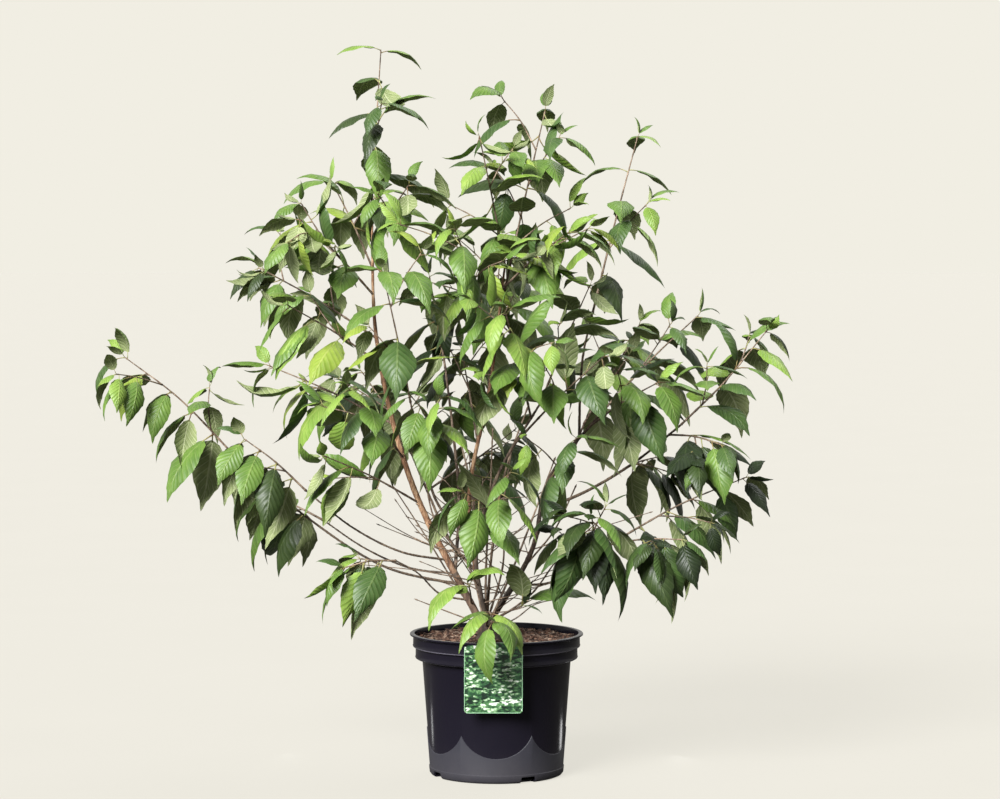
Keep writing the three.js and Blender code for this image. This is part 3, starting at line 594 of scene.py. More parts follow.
# Stems and boughs: bevelled curves joined, remeshed to one skin, with the bark's relief
bark = {
    "voxel": 1.3, "ridge": 0.35, "grain": 3.2, "stretch": 5.0, "finer": 2.3, "finerShare": 0.5,
    "scarEvery": 62, "scar": 0.1, "scarWidth": 2.2, "step": 3, "sunk": 3, "smooth": (0.5, 2),
    "axisPoints": 60,
}


def limbRadii(name, shares):  # with the low rings that old leaf scars leave
    radii = limbRadius(name, shares)
    if name == "root_crown":
        return radii
    half = bark["scarEvery"] / 2
    off = (shares * curves[name][1][-1] + half) % bark["scarEvery"] - half
    return radii * (1 + bark["scar"] * np.exp(-(off / bark["scarWidth"]) ** 2))


def limbObject(name):  # one limb as a bevelled curve, made a mesh
    curve = curves[name]
    count = max(4, int(curve[1][-1] / bark["step"]))
    shares = np.linspace(0, 1, count)
    points = pointAt(curve, shares)
    radii = limbRadii(name, shares)
    if name == "root_crown":
        points[0, 2] = soilTop - bark["sunk"]
    data = bpy.data.curves.new(name, "CURVE")
    data.dimensions = "3D"
    data.bevel_depth = 1  # times each point's own radius
    data.bevel_resolution = 3
    data.use_fill_caps = True
    spline = data.splines.new("POLY")
    spline.points.add(count - 1)
    for point, place, radius in zip(spline.points, points, radii):
        point.co = (*(place * mm), 1)
        point.radius = radius * mm
    piece = bpy.data.objects.new(name + "_skin", data)
    bpy.context.collection.objects.link(piece)
    pick(piece)
    bpy.ops.object.convert(target="MESH")
    return bpy.context.object


def barkSkin(pieceName, names, material):  # limbs grown into one skin, ridged lengthwise
    parts = [limbObject(name) for name in names]
    deselectAll()
    for part in parts:
        part.select_set(True)
    bpy.context.view_layer.objects.active = parts[0]
    bpy.ops.object.join()
    skin = bpy.context.object
    skin.name = pieceName
    applyModifier(skin, "REMESH", mode="VOXEL", voxel_size=bark["voxel"] * mm)
    factor, rounds = bark["smooth"]
    applyModifier(skin, "SMOOTH", factor=factor, iterations=rounds)
    count = len(skin.data.vertices)
    places = np.empty(count * 3)
    skin.data.vertices.foreach_get("co", places)
    places = places.reshape(-1, 3) / mm
    normals = np.array([vertex.normal[:] for vertex in skin.data.vertices])
    grain = bark["grain"]
    scale = np.array([1 / grain, 1 / grain, 1 / (grain * bark["stretch"])])
    relief = np.array([noise.noise(Vector(p)) for p in places * scale])
    finer = np.array([noise.noise(Vector(p)) for p in places * scale * bark["finer"]])
    relief += bark["finerShare"] * finer
    places += normals * (relief * bark["ridge"])[:, None]
    skin.data.vertices.foreach_set("co", (places * mm).ravel())
    skin.data.update()
    skin.data.materials.clear()
    skin.data.materials.append(material)
    skin.data.polygons.foreach_set("use_smooth", np.full(len(skin.data.polygons), True))
    return skin


# Bark of a young shrub: thin brown-grey cork that splits into lengthwise ridges, dotted with
# pale pores; towards the foot it turns a darker, duller grey
barkFoot = (305, 375)  # it fades out between these heights


def barkMaterial(name, deep, middle, pale, poreMm, foot=None):
    material, tree, shader, place = newMaterial(name)
    stretched = node(tree, "Mapping", {"Vector": place, "Scale": (1, 1, 0.22)})  # along the stems
    ridges = node(tree, "TexNoise", {  # 3.5 mm from ridge to ridge
        "Vector": stretched, "Scale": 1 / (3.5 * mm), "Detail": 6, "Roughness": 0.62,
    })
    blotches = node(tree, "TexNoise", {"Vector": place, "Scale": 1 / (45 * mm), "Detail": 3})
    pores = node(tree, "TexVoronoi", {"Vector": place, "Scale": 1 / (poreMm * mm)})
    poreMask = node(tree, "MapRange", (pores, 0.12, 0.22, 1, 0))  # each under a fifth of its spacing
    both = node(tree, "Math", (ridges, blotches), operation="ADD")
    field = node(tree, "Math", (both, 0.5), operation="MULTIPLY")
    skin = node(tree, "ValToRGB", (field,), ((0.38, deep), (0.5, middle), (0.61, pale)))
    colour = node(tree, "Mix", {"Factor": poreMask, "A": skin, "B": linear(pale)}, data_type="RGBA")
    if foot:
        height = node(tree, "SeparateXYZ", (place,)).outputs["Z"]
        towardFoot = node(tree, "MapRange", (height, barkFoot[0] * mm, barkFoot[1] * mm, 0.85, 0))
        grey = node(tree, "ValToRGB", (field,), ((0.36, foot[0]), (0.62, foot[1])))
        colour = node(tree, "Mix", {"Factor": towardFoot, "A": colour, "B": grey}, data_type="RGBA")
    relief = node(tree, "Math", (ridges, poreMask), operation="ADD")
    bump = node(tree, "Bump", {"Height": relief, "Strength": 0.6, "Distance": 0.4 * mm})
    plug(tree, shader, {"Base Color": colour, "Roughness": 0.82, "Normal": bump})
    return material


oldBark = barkMaterial(
    "old bark, thin cork, painted sunlit", "#3f2b1e", "#896347", "#c9a683", 4.5, ("#211812", "#54433a"))
paintedShadeBark = barkMaterial(
    "old bark, darker as painted shade", "#271e17", "#5a493d", "#917e6b", 4.5, ("#1c1611", "#453b33"))
youngBark = barkMaterial("young bark, smooth", "#2b221a", "#514336", "#84715d", 5.5)
oldLimbs = ["root_crown"] + [name for name in limbs if name.startswith("stem")]
paintedSunlitLimbs = ["stem_left", "stem_centre"]  # browner, paler bark than on the others, as painted sunlight; the others get the darker copy as painted shade
youngLimbs = [name for name in limbs if name not in oldLimbs]
stems = barkSkin("stems", oldLimbs, oldBark)
stems.data.materials.append(paintedShadeBark)
centres = np.empty(len(stems.data.polygons) * 3)
stems.data.polygons.foreach_get("center", centres)
centres = centres.reshape(-1, 3) / mm
away = []  # distance of each face from the axis of each old limb
for name in oldLimbs:
    axis = pointAt(curves[name], np.linspace(0, 1, bark["axisPoints"]))
    away.append(np.min([np.linalg.norm(centres - point, axis=1) for point in axis], axis=0))
nearest = np.array(oldLimbs)[np.argmin(away, axis=0)]
# faces near the lit stems keep the paler bark, the others take the darker copy as painted shade
stems.data.polygons.foreach_set("material_index", (~np.isin(nearest, paintedSunlitLimbs)).astype(np.int32))
ready(stems, "old_bark", *oldLimbs)
ready(barkSkin("boughs", youngLimbs, youngBark), "young_bark", *youngLimbs)


# Twigs of the masses: thin tubes, thickened at each node, with a bud at the end
shoots = {
    "sides": 6, "twigSides": 5, "spacing": 4, "twigTaper": 0.45, "knot": 0.3, "knotEvery": 34,
    "knotWidth": 2.4, "bud": 0.55, "budBack": 4, "budWidth": 2.6, "end": 0.35, "endLength": 0.5,
}


def shootRadii(base, taper, length):  # gives the radius at shares of the shoot's length
    def radiusAt(shares):
        along = shares * length
        half = shoots["knotEvery"] / 2
        off = (along + half) % shoots["knotEvery"] - half
        swell = 1 + shoots["knot"] * np.exp(-(off / shoots["knotWidth"]) ** 2)
        fromBud = along - length + shoots["budBack"]
        bud = shoots["bud"] * np.exp(-(fromBud / shoots["budWidth"]) ** 2)
        radii = base * (1 - taper * shares) * swell + bud
        return np.where(along > length - shoots["endLength"], shoots["end"], radii)
    return radiusAt


bareTwigs = {
    "count": 44, "seed": 5, "from": (0.02, 0.36), "reach": (80, 230), "radius": 1.15, "taper": 0.5,
    "onCrown": (0.3, 0.7), "bendAt": (0.35, 0.7), "bend": 0.035, "rise": (0.1, 0.8), "shift": 5,
    "overPot": 20,
    "tips": (  # thin stems and stubs that rise from the crown between the larger ones
        (-134, -30, 290, 1.5), (106, -10, 288, 1.4), (92, 20, 304, 1.3), (-64, 44, 560, 2.6),
        (-6, -46, 570, 2.3), (52, 34, 600, 2.7), (96, -16, 520, 2.4), (-118, -34, 500, 2.2),
        (132, 52, 470, 2.2), (24, 60, 520, 2.0), (-170, 20, 470, 1.9), (168, -40, 420, 1.8),
    ),
}


def bareTwigCurves():  # old leafless wood low down: curves with the radius of their foot
    rng = np.random.default_rng(bareTwigs["seed"])
    made = []
    for x, y, z, radius in bareTwigs["tips"]:
        start = pointAt(curves["root_crown"], rng.uniform(*bareTwigs["onCrown"]))
        tip = np.array([x, y, z], dtype=float)
        stray = bareTwigs["bend"] * np.linalg.norm(tip - start)
        bends = [start + (tip - start) * at + rng.normal(0, stray, 3) for at in bareTwigs["bendAt"]]
        made.append((makeCurve([start, *bends, tip]), radius))
    for i in range(bareTwigs["count"]):
        stem = oldLimbs[1 + i % (len(oldLimbs) - 1)]
        start = pointAt(curves[stem], rng.uniform(*bareTwigs["from"]))
        turn = rng.uniform(0, 2 * math.pi)
        outward = np.array([math.cos(turn), math.sin(turn), rng.uniform(*bareTwigs["rise"])])
        end = start + outward / np.linalg.norm(outward) * rng.uniform(*bareTwigs["reach"])
        middle = (start + end) / 2 + rng.normal(0, bareTwigs["shift"], 3)
        if end[2] > potSize["height"] + bareTwigs["overPot"]:
            made.append((makeCurve([start, middle, end]), bareTwigs["radius"]))
    return made


def growTubes():  # bare wood, the stems of the masses and their twigs
    bare, stem, twig = bareTwigs["taper"], growth["stemTaper"], shoots["twigTaper"]
    tubes = [(curve, radius, bare, shoots["twigSides"]) for curve, radius in bareTwigCurves()]
    tubes += [(curves[name], growth["stemRadius"], stem, shoots["sides"]) for name in grown]
    tubes += [(curve, growth["twigRadius"], twig, shoots["twigSides"]) for curve in allTwigs]
    return joinArrays([
        tubeArrays(curve, shootRadii(radius, taper, curve[1][-1]), sides, shoots["spacing"])
        for curve, radius, taper, sides in tubes
    ])


massNodes = ["leaves_" + name for name in masses]
twigBark = barkMaterial("twig bark, one season old", "#352b22", "#6a5848", "#a28d79", 6.5)
points, faces = growTubes()
ready(meshPiece("twigs", points, faces, [twigBark]), "young_bark", *massNodes)


# Leaves: oval blades drawn out to a point, toothed, folded along the midrib and arched down
blade = {
    "stations": (0, 0.07, 0.2, 0.36, 0.53, 0.7, 0.86, 1), "stalk": 0.14, "width": 0.415,
    "bend": (0.08, 0.27), "lift": 0.012, "edgeDrop": (0.02, 0.11), "thickness": 0.45,
    "tooth": 0.011, "toothAt": 0.72, "twist": 0.4, "sway": 0.06, "ripple": 0.012, "turned": 0.08,
    "vary": (0.84, 1.12), "outline": (0.74, 0.72, 0.85), "swell": 2.4, "waves": 15, "seed": 40,
}
stalk = {  # thickness as a share of the leaf's length; places and thickness of its rows
    "thick": 0.011, "sides": 4, "shares": (0, 0.5, 1.25), "rows": (1.15, 0.85, 0.7),
}
paleMasses = {  # share of the leaves that show their underside, where more do than elsewhere
    "upper_left_light": 0.7, "left_pale": 0.6, "right_upper_mid": 0.35, "upper_centre_right": 0.35,
    "top_centre_right": 0.25, "top_centre_left": 0.25, "left_upper_mid": 0.2,
}


def bladeTemplate():  # places on the blade: along, across, layer, tooth; faces; face slots
    stations = blade["stations"]
    rows = len(stations) - 2
    spots = []
    for along in stations[1:-1]:
        spots += [(along, u, 1 if abs(u) < 1 else 0, 0) for u in (-1, -0.5, 0, 0.5, 1)]
        spots += [(along, u, -1, 0) for u in (-0.5, 0, 0.5)]
    base, tip = len(spots), len(spots) + 1
    spots += [(0, 0, 0, 0), (1, 0, 0, 0)]
    perRow = base // rows  # five over the upper side, three more under it
    upper, lower = (
        [[base] * 5] + [[r * perRow + c for c in columns] for r in range(rows)] + [[tip] * 5]
        for columns in ((0, 1, 2, 3, 4), (0, 5, 6, 7, 4))
    )
    faces, slots = [], []
    for i, (low, high) in enumerate(zip(stations, stations[1:])):
        teeth = {}
        for column, sense in ((0, -1), (4, 1)):
            teeth[column] = len(spots)
            spots.append((low + (high - low) * blade["toothAt"], sense, 0, 1))
        for grid, slot in ((upper, 0), (lower, 1)):
            made = [(grid[i][c], grid[i + 1][c], grid[i + 1][c + 1], grid[i][c + 1]) for c in (1, 2)]
            for edge, inner in ((0, 1), (4, 3)):
                tooth, near, far = teeth[edge], grid[i][edge], grid[i + 1][edge]
                fan = [(grid[i][inner], near, tooth), (grid[i][inner], tooth, grid[i + 1][inner]),
                       (grid[i + 1][inner], tooth, far)]
                made += fan if edge == 0 else [(first, third, second) for first, second, third in fan]
            for face in made:
                loop = [v for k, v in enumerate(face) if v not in face[:k]]
                if len(loop) > 2:
                    faces.append([loop[0], *loop[:0:-1]] if slot == 0 else loop)
                    slots.append(slot)
    return np.array(spots, dtype=float), faces, slots


def bladeHalfWidth(along):  # widest below the middle, drawn out to the drip tip
    along = np.clip(along, 0, 1)
    place, full, drawn = blade["outline"]
    return 0.5 * np.sin(np.pi * along ** place) ** (full + drawn * along)


def leafSpine(leafSet, share):  # place and normal of the arched midline, share from root to tip
    turn = 2 * np.arctan(2 * leafSet["bend"])[:, None]
    phi = turn * (2 * share - 1)
    radius = leafSet["length"][:, None] / (2 * np.sin(turn))
    out = leafSet["length"][:, None] / 2 + radius * np.sin(phi)
    rise = radius * (np.cos(phi) - np.cos(turn))
    way, top, side = (leafSet[key][:, None] for key in ("way", "top", "side"))
    place = leafSet["root"][:, None] + way * out[..., None] + top * rise[..., None]
    normal = way * np.sin(phi)[..., None] + top * np.cos(phi)[..., None]
    sway = leafSet["sway"][:, None] * leafSet["length"][:, None] * share ** 2
    return place + side * sway[..., None], normal


def gatherLeaves(leaves, seed):  # the same seed gives blades and stalks the same bends
    rng = np.random.default_rng(seed)
    count = len(leaves)
    keys = ("root", "way", "top", "side", "length")
    leafSet = {key: np.array([leaf[key] for leaf in leaves]) for key in keys}
    leafSet["bend"] = rng.uniform(*blade["bend"], count)
    leafSet["drop"] = rng.uniform(*blade["edgeDrop"], count)
    leafSet["twist"] = rng.normal(0, blade["twist"], count)
    leafSet["sway"] = rng.normal(0, blade["sway"], count)
    leafSet["wide"] = rng.uniform(*blade["vary"], count) * blade["width"]
    leafSet["phase"] = rng.uniform(0, 2 * np.pi, count)
    chance = np.array([paleMasses.get(leaf["mass"], blade["turned"]) for leaf in leaves])
    over = rng.uniform(size=count) < chance  # these leaves show their underside
    for key in ("top", "side"):
        leafSet[key][over] *= -1
    return leafSet


def bladePoints(leafSet, spots):  # the template bent, twisted, pulled down at its edges and rippled
    along, across, layer, tooth = spots.T[:, None, :]
    share = blade["stalk"] + (1 - blade["stalk"]) * along
    place, normal = leafSpine(leafSet, share)
    size = leafSet["length"][:, None]
    twist = leafSet["twist"][:, None] * along
    half = bladeHalfWidth(along) * leafSet["wide"][:, None] * size
    half = half + tooth * blade["tooth"] * size * (half > 0)
    side = leafSet["side"][:, None]
    flat = side * np.cos(twist)[..., None] + normal * np.sin(twist)[..., None]
    outward = normal * np.cos(twist)[..., None] - side * np.sin(twist)[..., None]
    spread = np.abs(across)
    swell = np.minimum(1, bladeHalfWidth(along) * blade["swell"])
    rise = blade["lift"] * np.sin(np.pi * spread) * swell
    rise = rise - leafSet["drop"][:, None] * spread ** 2 * swell
    wave = np.sin(along * blade["waves"] + leafSet["phase"][:, None] + across * 2)
    rise = rise + blade["ripple"] * wave * spread ** 2 * swell
    height = rise * size + layer * blade["thickness"] / 2
    return place + flat * (across * half)[..., None] + outward * height[..., None]


template = bladeTemplate()


def leafPiece(name, leaves, materials, seed):  # every leaf of a group, each with its own tone
    spots, faces, slots = template
    leafSet = gatherLeaves(leaves, seed)
    points = bladePoints(leafSet, spots)
    count, per = points.shape[:2]
    allFaces = [[i * per + v for v in face] for i in range(count) for face in faces]
    uv = np.tile(np.stack([(spots[:, 1] + 1) / 2, spots[:, 0]], axis=1), (count, 1))
    tones = np.random.default_rng(seed + 1).integers(0, len(materials) // 2, count)
    allSlots = (np.array(slots)[None] + 2 * tones[:, None]).ravel()
    piece = meshPiece(name, points.reshape(-1, 3) * mm, allFaces, materials, allSlots, uv)
    edges = np.empty(len(piece.data.edges) * 2, dtype=np.int32)
    piece.data.edges.foreach_get("vertices", edges)
    atEdge = np.tile((np.abs(spots[:, 1]) == 1) | (spots[:, 0] == 0) | (spots[:, 0] == 1), count)
    piece.data.edges.foreach_set("use_edge_sharp", atEdge[edges.reshape(-1, 2)].all(axis=1))
    return piece


def stalkArrays(leaves, seed):  # four-sided stalks, from the twig to inside the blade's base
    leafSet = gatherLeaves(leaves, seed)
    shares = np.array(stalk["shares"]) * blade["stalk"]
    place, normal = leafSpine(leafSet, shares[None])
    side = leafSet["side"][:, None]
    thick = stalk["thick"] * leafSet["length"][:, None] * np.array(stalk["rows"])
    sides, rows = stalk["sides"], len(stalk["rows"])
    turns = np.arange(sides) * 2 * math.pi / sides
    ring = [place + (side * math.cos(a) + normal * math.sin(a)) * thick[..., None] for a in turns]
    points = np.stack(ring, axis=2)
    faces = []
    for first in range(0, len(leaves) * sides * rows, sides * rows):
        for low in range(first, first + sides * (rows - 1), sides):
            for s, after in zip(range(sides), (*range(1, sides), 0)):
                faces.append((low + s, low + sides + s, low + sides + after, low + after))
        faces.append(tuple(first + s for s in range(sides)))
        faces.append(tuple(first + sides * (rows - 1) + s for s in range(sides))[::-1])
    return points.reshape(-1, 3), faces


# Leaf of a doublefile viburnum: a matt, pleated blade with straight sunken side veins that
# end in the teeth; the underside is paler and duller, with the veins raised
veins = {"pairs": 10, "slant": 0.24, "bow": 0.9}


def leafMaterial(name, deep, middle, pale, veinColour, under):
    material, tree, shader, place = newMaterial(name)
    chart = node(tree, "SeparateXYZ", (node(tree, "UVMap", uv_map="leafMap"),)).outputs  # across, along
    offset = node(tree, "Math", (chart["X"], 2, -1), operation="MULTIPLY_ADD")
    across = node(tree, "Math", (offset,), operation="ABSOLUTE")
    bowed = node(tree, "Math", (across, veins["bow"]), operation="POWER")
    swept = node(tree, "Math", (bowed, -veins["slant"], chart["Y"]), operation="MULTIPLY_ADD")
    phase = node(tree, "Math", (swept, veins["pairs"] * 2 * math.pi), operation="MULTIPLY")
    pleat = node(tree, "Math", (phase,), operation="COSINE")
    sideVeins = node(tree, "MapRange", (pleat, 0.72, 0.98, 0, 0.75))
    midrib = node(tree, "MapRange", (across, 0.035, 0.09, 1, 0))
    lines = node(tree, "Math", (sideVeins, midrib), operation="MAXIMUM")
    shown = node(tree, "Math", (lines, 0.65 if under else 0.34), operation="MULTIPLY")
    mottle = node(tree, "TexNoise", {  # patches a third of a leaf wide
        "Vector": place, "Scale": 1 / (32 * mm), "Detail": 4, "Roughness": 0.55,
    })
    cells = node(tree, "TexVoronoi", {  # the net of small veins, coarse enough to show
        "Vector": place, "Scale": 1 / (2.2 * mm),
    }, feature="DISTANCE_TO_EDGE")
    net = node(tree, "Math", (cells, 0.25), operation="MINIMUM")
    field = node(tree, "Math", (pleat, -0.05, mottle), operation="MULTIPLY_ADD")
    field = node(tree, "Math", (net, 0.3, field), operation="MULTIPLY_ADD")
    skin = node(tree, "ValToRGB", (field,), ((0.25, deep), (0.55, middle), (0.85, pale)))
    sense = 1 if under else -1  # veins are raised below and sunken above
    rib = node(tree, "Math", (midrib, 1.2 * sense), operation="MULTIPLY")
    relief = node(tree, "Math", (pleat, 0.5 * sense, rib), operation="MULTIPLY_ADD")
    colour = node(tree, "Mix", {
        "Factor": shown, "A": skin, "B": linear(veinColour),
    }, data_type="RGBA")
    plug(tree, shader, {
        "Base Color": colour,
        "Roughness": 0.62 if under else 0.46, "Specular IOR Level": 0.2 if under else 0.4,
        "Normal": node(tree, "Bump", {"Height": relief, "Strength": 0.8, "Distance": 0.55 * mm}),
    })
    return material


leafTones = {  # deep, middle, pale and vein colour of the upper side
    # the lime stands partly for young leaves and partly is painted light on sunlit ones
    "young lime, painted sunlit": ("#67802b", "#7f9538", "#95a849", "#b5ba72"),
    "fresh green": ("#55732a", "#708e39", "#8aa34b", "#aebb6b"),
    "grown green": ("#405b25", "#54722d", "#6c893b", "#92a360"),
    "grown deep": ("#2b411d", "#3c5527", "#506933", "#758650"),
    "shade green": ("#202e14", "#2d3d1b", "#3a4d24", "#59683c"),
    "shade deep": ("#151f0e", "#1b2812", "#26351a", "#3f4d2a"),
}
underSide = leafMaterial("leaf underside", "#606c45", "#7b8759", "#99a271", "#bdc39a", True)
leafGroups = {  # a tone named more than once is drawn more often; bright holds lighter tones as painted light, dark holds darker ones as painted shade
    "bright": ("leaves_painted_light", (
        "grown deep", *["fresh green"] * 3, *["grown green"] * 3, "young lime, painted sunlit",
    )),
    "mid": ("leaves_grown", (
        *["fresh green"] * 2, *["grown green"] * 2, "grown deep", "shade green",
    )),
    "dark": ("leaves_painted_shade", ("grown green", "grown deep", "shade green", "shade deep")),
}
toneMaterials = {
    name: leafMaterial("leaf, " + name, *tone, False) for name, tone in leafTones.items()
}
stalkParts = []
for index, (group, (pieceName, tones)) in enumerate(leafGroups.items()):
    # masses of the bright group take the painted light tones, those of the dark group the painted shade
    # tones
    names = [name for name in grown if grown[name][7] == group]
    leaves = [leaf for leaf in allLeaves if leaf["mass"] in names]
    materials = [m for tone in tones for m in (toneMaterials[tone], underSide)]
    piece = leafPiece(pieceName, leaves, materials, blade["seed"] + index)
    ready(piece, "leaf", *["leaves_" + name for name in names if name in masses])
    stalkParts.append(stalkArrays(leaves, blade["seed"] + index))

# Leaf stalk: a soft green skin, flushed brown where the sun reaches it
stalkGreen, tree, shader, place = newMaterial("leaf stalk, flushed")
flush = node(tree, "TexNoise", {"Vector": place, "Scale": 1 / (25 * mm), "Detail": 3})
colour = node(tree, "ValToRGB", (flush,), ((0.35, "#73583b"), (0.5, "#89814c"), (0.65, "#989c64")))
plug(tree, shader, {"Base Color": colour, "Roughness": 0.55})
points, faces = joinArrays(stalkParts)
ready(meshPiece("leaf_stalks", points, faces, [stalkGreen]), "young_bark", *massNodes)


# Container: turned up from its foot in rows, a scalloped step round its lower zone
moulding = {
    "segments": 168, "edge": 0.5, "edgeFrom": 38, "smoothTo": 35, "scallopShare": 0.93, "bead": 1.5,
}


def turnBody(name, segments, profile):  # rows of (radius, height) in mm from a filled circle
    deselectAll()
    radius, height = profile[0]
    bpy.ops.mesh.primitive_circle_add(
        vertices=segments, radius=radius * mm, fill_type="NGON", location=(0, 0, height * mm),
    )
    body = bpy.context.object
    body.name = name
    settle(body)
    bpy.ops.object.mode_set(mode="EDIT")
    bpy.ops.mesh.select_all(action="SELECT")
    for (radius, height), (nextRadius, nextHeight) in zip(profile, profile[1:]):
        bpy.ops.mesh.extrude_region_move(
            TRANSFORM_OT_translate={"value": (0, 0, (nextHeight - height) * mm)},
        )
        share = nextRadius / radius
        bpy.ops.transform.resize(value=(share, share, 1), center_override=(0, 0, nextHeight * mm))
    bpy.ops.mesh.select_all(action="SELECT")
    bpy.ops.mesh.normals_make_consistent(inside=False)
    bpy.ops.object.mode_set(mode="OBJECT")
    return body


def bodyRadius(height):  # the body's taper
    foot, top = potSize["bodyFoot"], potSize["bodyTop"]
    return foot + (top - foot) * height / potSize["bandFoot"]


def scallopHeight(angle):  # the step round the lower zone: shallow arcs that meet in points
    pitch = 2 * math.pi / potSize["scallops"]
    full = moulding["scallopShare"]
    share = full * abs(((angle + math.pi / 2) / pitch + 10.5) % 1 - 0.5) * 2
    rise = (1 - math.sqrt(1 - share * share)) / (1 - math.sqrt(1 - full * full))
    return potSize["scallopLow"] + (potSize["scallopHigh"] - potSize["scallopLow"]) * rise


def potProfile():  # foot, scalloped zone, body, band, collar and lip, then the inside down again
    size = potSize
    edge, ring, wall, relief = (size[key] for key in ("scallopLow", "footRing", "wall", "relief"))
    bodyTop, band, bandFoot = bodyRadius(size["bandFoot"]), size["band"], size["bandFoot"]
    collar, collarFoot, lip, top = (size[key] for key in ("collar", "collarFoot", "lip", "height"))
    outer = [
        (bodyRadius(0) - 2.5, 0), (bodyRadius(0) - 0.5, 0.8), (bodyRadius(0) + 2 * relief, 4),
        (bodyRadius(ring) + 2 * relief, ring), (bodyRadius(ring) + relief, ring + 1),
        (bodyRadius(edge) + relief, edge), (bodyRadius(edge), edge + relief),
        (bodyRadius(size["middle"]), size["middle"]), (bodyTop, bandFoot),
        (band - 1.6, bandFoot + 0.2), (band - 0.2, bandFoot + 1), (band + 0.5, bandFoot + 2.4),
        (band - 0.1, bandFoot + 4), (band - 0.3, collarFoot - 0.6),
        (collar - 1.6, collarFoot - 0.1), (collar - 0.2, collarFoot + 0.7),
        (collar + 0.5, collarFoot + 2.2), (collar - 0.1, collarFoot + 3.8), (collar - 0.3, top - 5),
        (lip - 1.5, top - 3.4), (lip, top - 2.4), (lip, top - 0.8), (lip - 0.8, top),
    ]
    inner = [
        (collar - wall, top), (collar - wall, collarFoot + wall), (band - wall, collarFoot - 3),
        (band - 2 - wall, bandFoot + wall), (bodyTop - wall, bandFoot - wall),
        (bodyRadius(size["floor"]) - wall, size["floor"]),
    ]
    return outer + inner


pot = turnBody("nursery_container", moulding["segments"], potProfile())
edge, relief = potSize["scallopLow"], potSize["relief"]
for vertex in pot.data.vertices:
    x, y, z = (value / mm for value in vertex.co)
    above = z - edge
    if -0.01 < above < relief + 0.01 and math.hypot(x, y) > bodyRadius(edge) - 1:
        height = scallopHeight(math.atan2(y, x))
        scale = (bodyRadius(height) + relief - above) / math.hypot(x, y)
        vertex.co = Vector((x * scale, y * scale, height + above)) * mm

# Drain notches, cut into the foot from outside
drainNotch = {"count": 4, "first": -62, "width": 26, "height": 10, "depth": 22, "round": 3}
for index in range(drainNotch["count"]):
    turn = math.radians(drainNotch["first"] + index * 360 / drainNotch["count"])
    deselectAll()
    bpy.ops.mesh.primitive_cube_add(
        size=1, location=Vector((math.cos(turn), math.sin(turn), 0)) * potSize["bodyFoot"] * mm,
        rotation=(0, 0, turn),
        scale=(drainNotch["depth"] * mm, drainNotch["width"] * mm, drainNotch["height"] * 2 * mm),
    )
    cutter = bpy.context.object
    settle(cutter)
    applyModifier(cutter, "BEVEL", width=drainNotch["round"] * mm, segments=4)
    applyModifier(pot, "BOOLEAN", operation="DIFFERENCE", object=cutter, solver="EXACT")
    bpy.data.objects.remove(cutter)
applyModifier(
    pot, "BEVEL", width=moulding["edge"] * mm, segments=2, limit_method="ANGLE",
    angle_limit=math.radians(moulding["edgeFrom"]), use_clamp_overlap=True,
)
smoothByAngle(pot, moulding["smoothTo"])


# Polypropylene, injection moulded: black, glossy from a polished mould; the lower zone comes
# from a spark-textured mould and looks a dull grey
def plasticMaterial(name, colour, roughness, grainMm, grainDepth, dust):
    material, tree, shader, place = newMaterial(name)
    height = node(tree, "SeparateXYZ", (place,)).outputs["Z"]
    waves = node(tree, "TexNoise", {"Vector": place, "Scale": 1 / (grainMm * mm), "Detail": 3})
    smears = node(tree, "TexNoise", {  # where hands and soil have dulled it
        "Vector": place, "Scale": 1 / (38 * mm), "Detail": 5, "Roughness": 0.7,
    })
    low = node(tree, "MapRange", (height, 0, 60 * mm, dust, 0.15 * dust))  # most dust at the foot
    dusty = node(tree, "Math", (smears, low), operation="MULTIPLY")
    plug(tree, shader, {
        "Base Color": node(tree, "Mix", {
            "Factor": dusty, "A": linear(colour), "B": linear("#8c8279"),
        }, data_type="RGBA"),
        "Roughness": node(tree, "MapRange", (smears, 0.3, 0.7, roughness - 0.03, roughness + 0.06)),
        "IOR": 1.49, "Specular IOR Level": 0.2,
        "Normal": node(tree, "Bump", {"Height": waves, "Strength": 0.5, "Distance": grainDepth * mm}),
    })
    return material


for finish in (  # name, colour, roughness, spacing and depth of the grain in mm, dust
    ("black polypropylene, glossy", "#14121b", 0.15, 9.0, 0.08, 0.03),
    ("black polypropylene, spark textured", "#2d2d34", 0.5, 0.9, 0.12, 0.1),
    # the paler beads at the foot of band and collar are a painted highlight line
    ("black polypropylene, painted highlight line", "#5c5963", 0.42, 9.0, 0.08, 0.03),
):
    pot.data.materials.append(plasticMaterial(*finish))
beads = [potSize["bandFoot"], potSize["collarFoot"]]
for face in pot.data.polygons:
    x, y, z = (value / mm for value in face.center)
    radius = math.hypot(x, y)
    under = z < scallopHeight(math.atan2(y, x)) + potSize["relief"] + 0.2
    atBead = any(0 < z - foot < moulding["bead"] for foot in beads)
    if radius > bodyRadius(z) - 1 and under:
        face.material_index = 1
    elif radius > potSize["band"] - 1.2 and atBead:
        # the beads take the paler finish, a painted highlight line
        face.material_index = 2
ready(pot, "black_plastic", "pot")


# Potting mix: an uneven bed with loose crumbs of composted pine bark on it
bed = {
    "foot": (120, 198), "rings": 26, "segments": 120, "rough": 2.6, "level": 30, "crumbs": 3200,
    "crumbMm": (1.8, 13), "crumbWide": (0.5, 0.95), "crumbThick": (0.3, 0.6), "ragged": (0.7, 1.15),
    "waves": ((26, 3.1, 1), (8, 7.7, 0.5)),  # span, slice of the noise, share
    "seed": 9,
}


def soilHeight(x, y):  # level where the crown stands, rougher toward the wall
    reach = min(max(math.hypot(x, y) / bed["level"] - 1, 0), 1)
    waves = 0
    for span, at, share in bed["waves"]:
        waves += share * noise.noise(Vector((x / span, y / span, at)))
    return soilTop - 1 + bed["rough"] * reach * waves


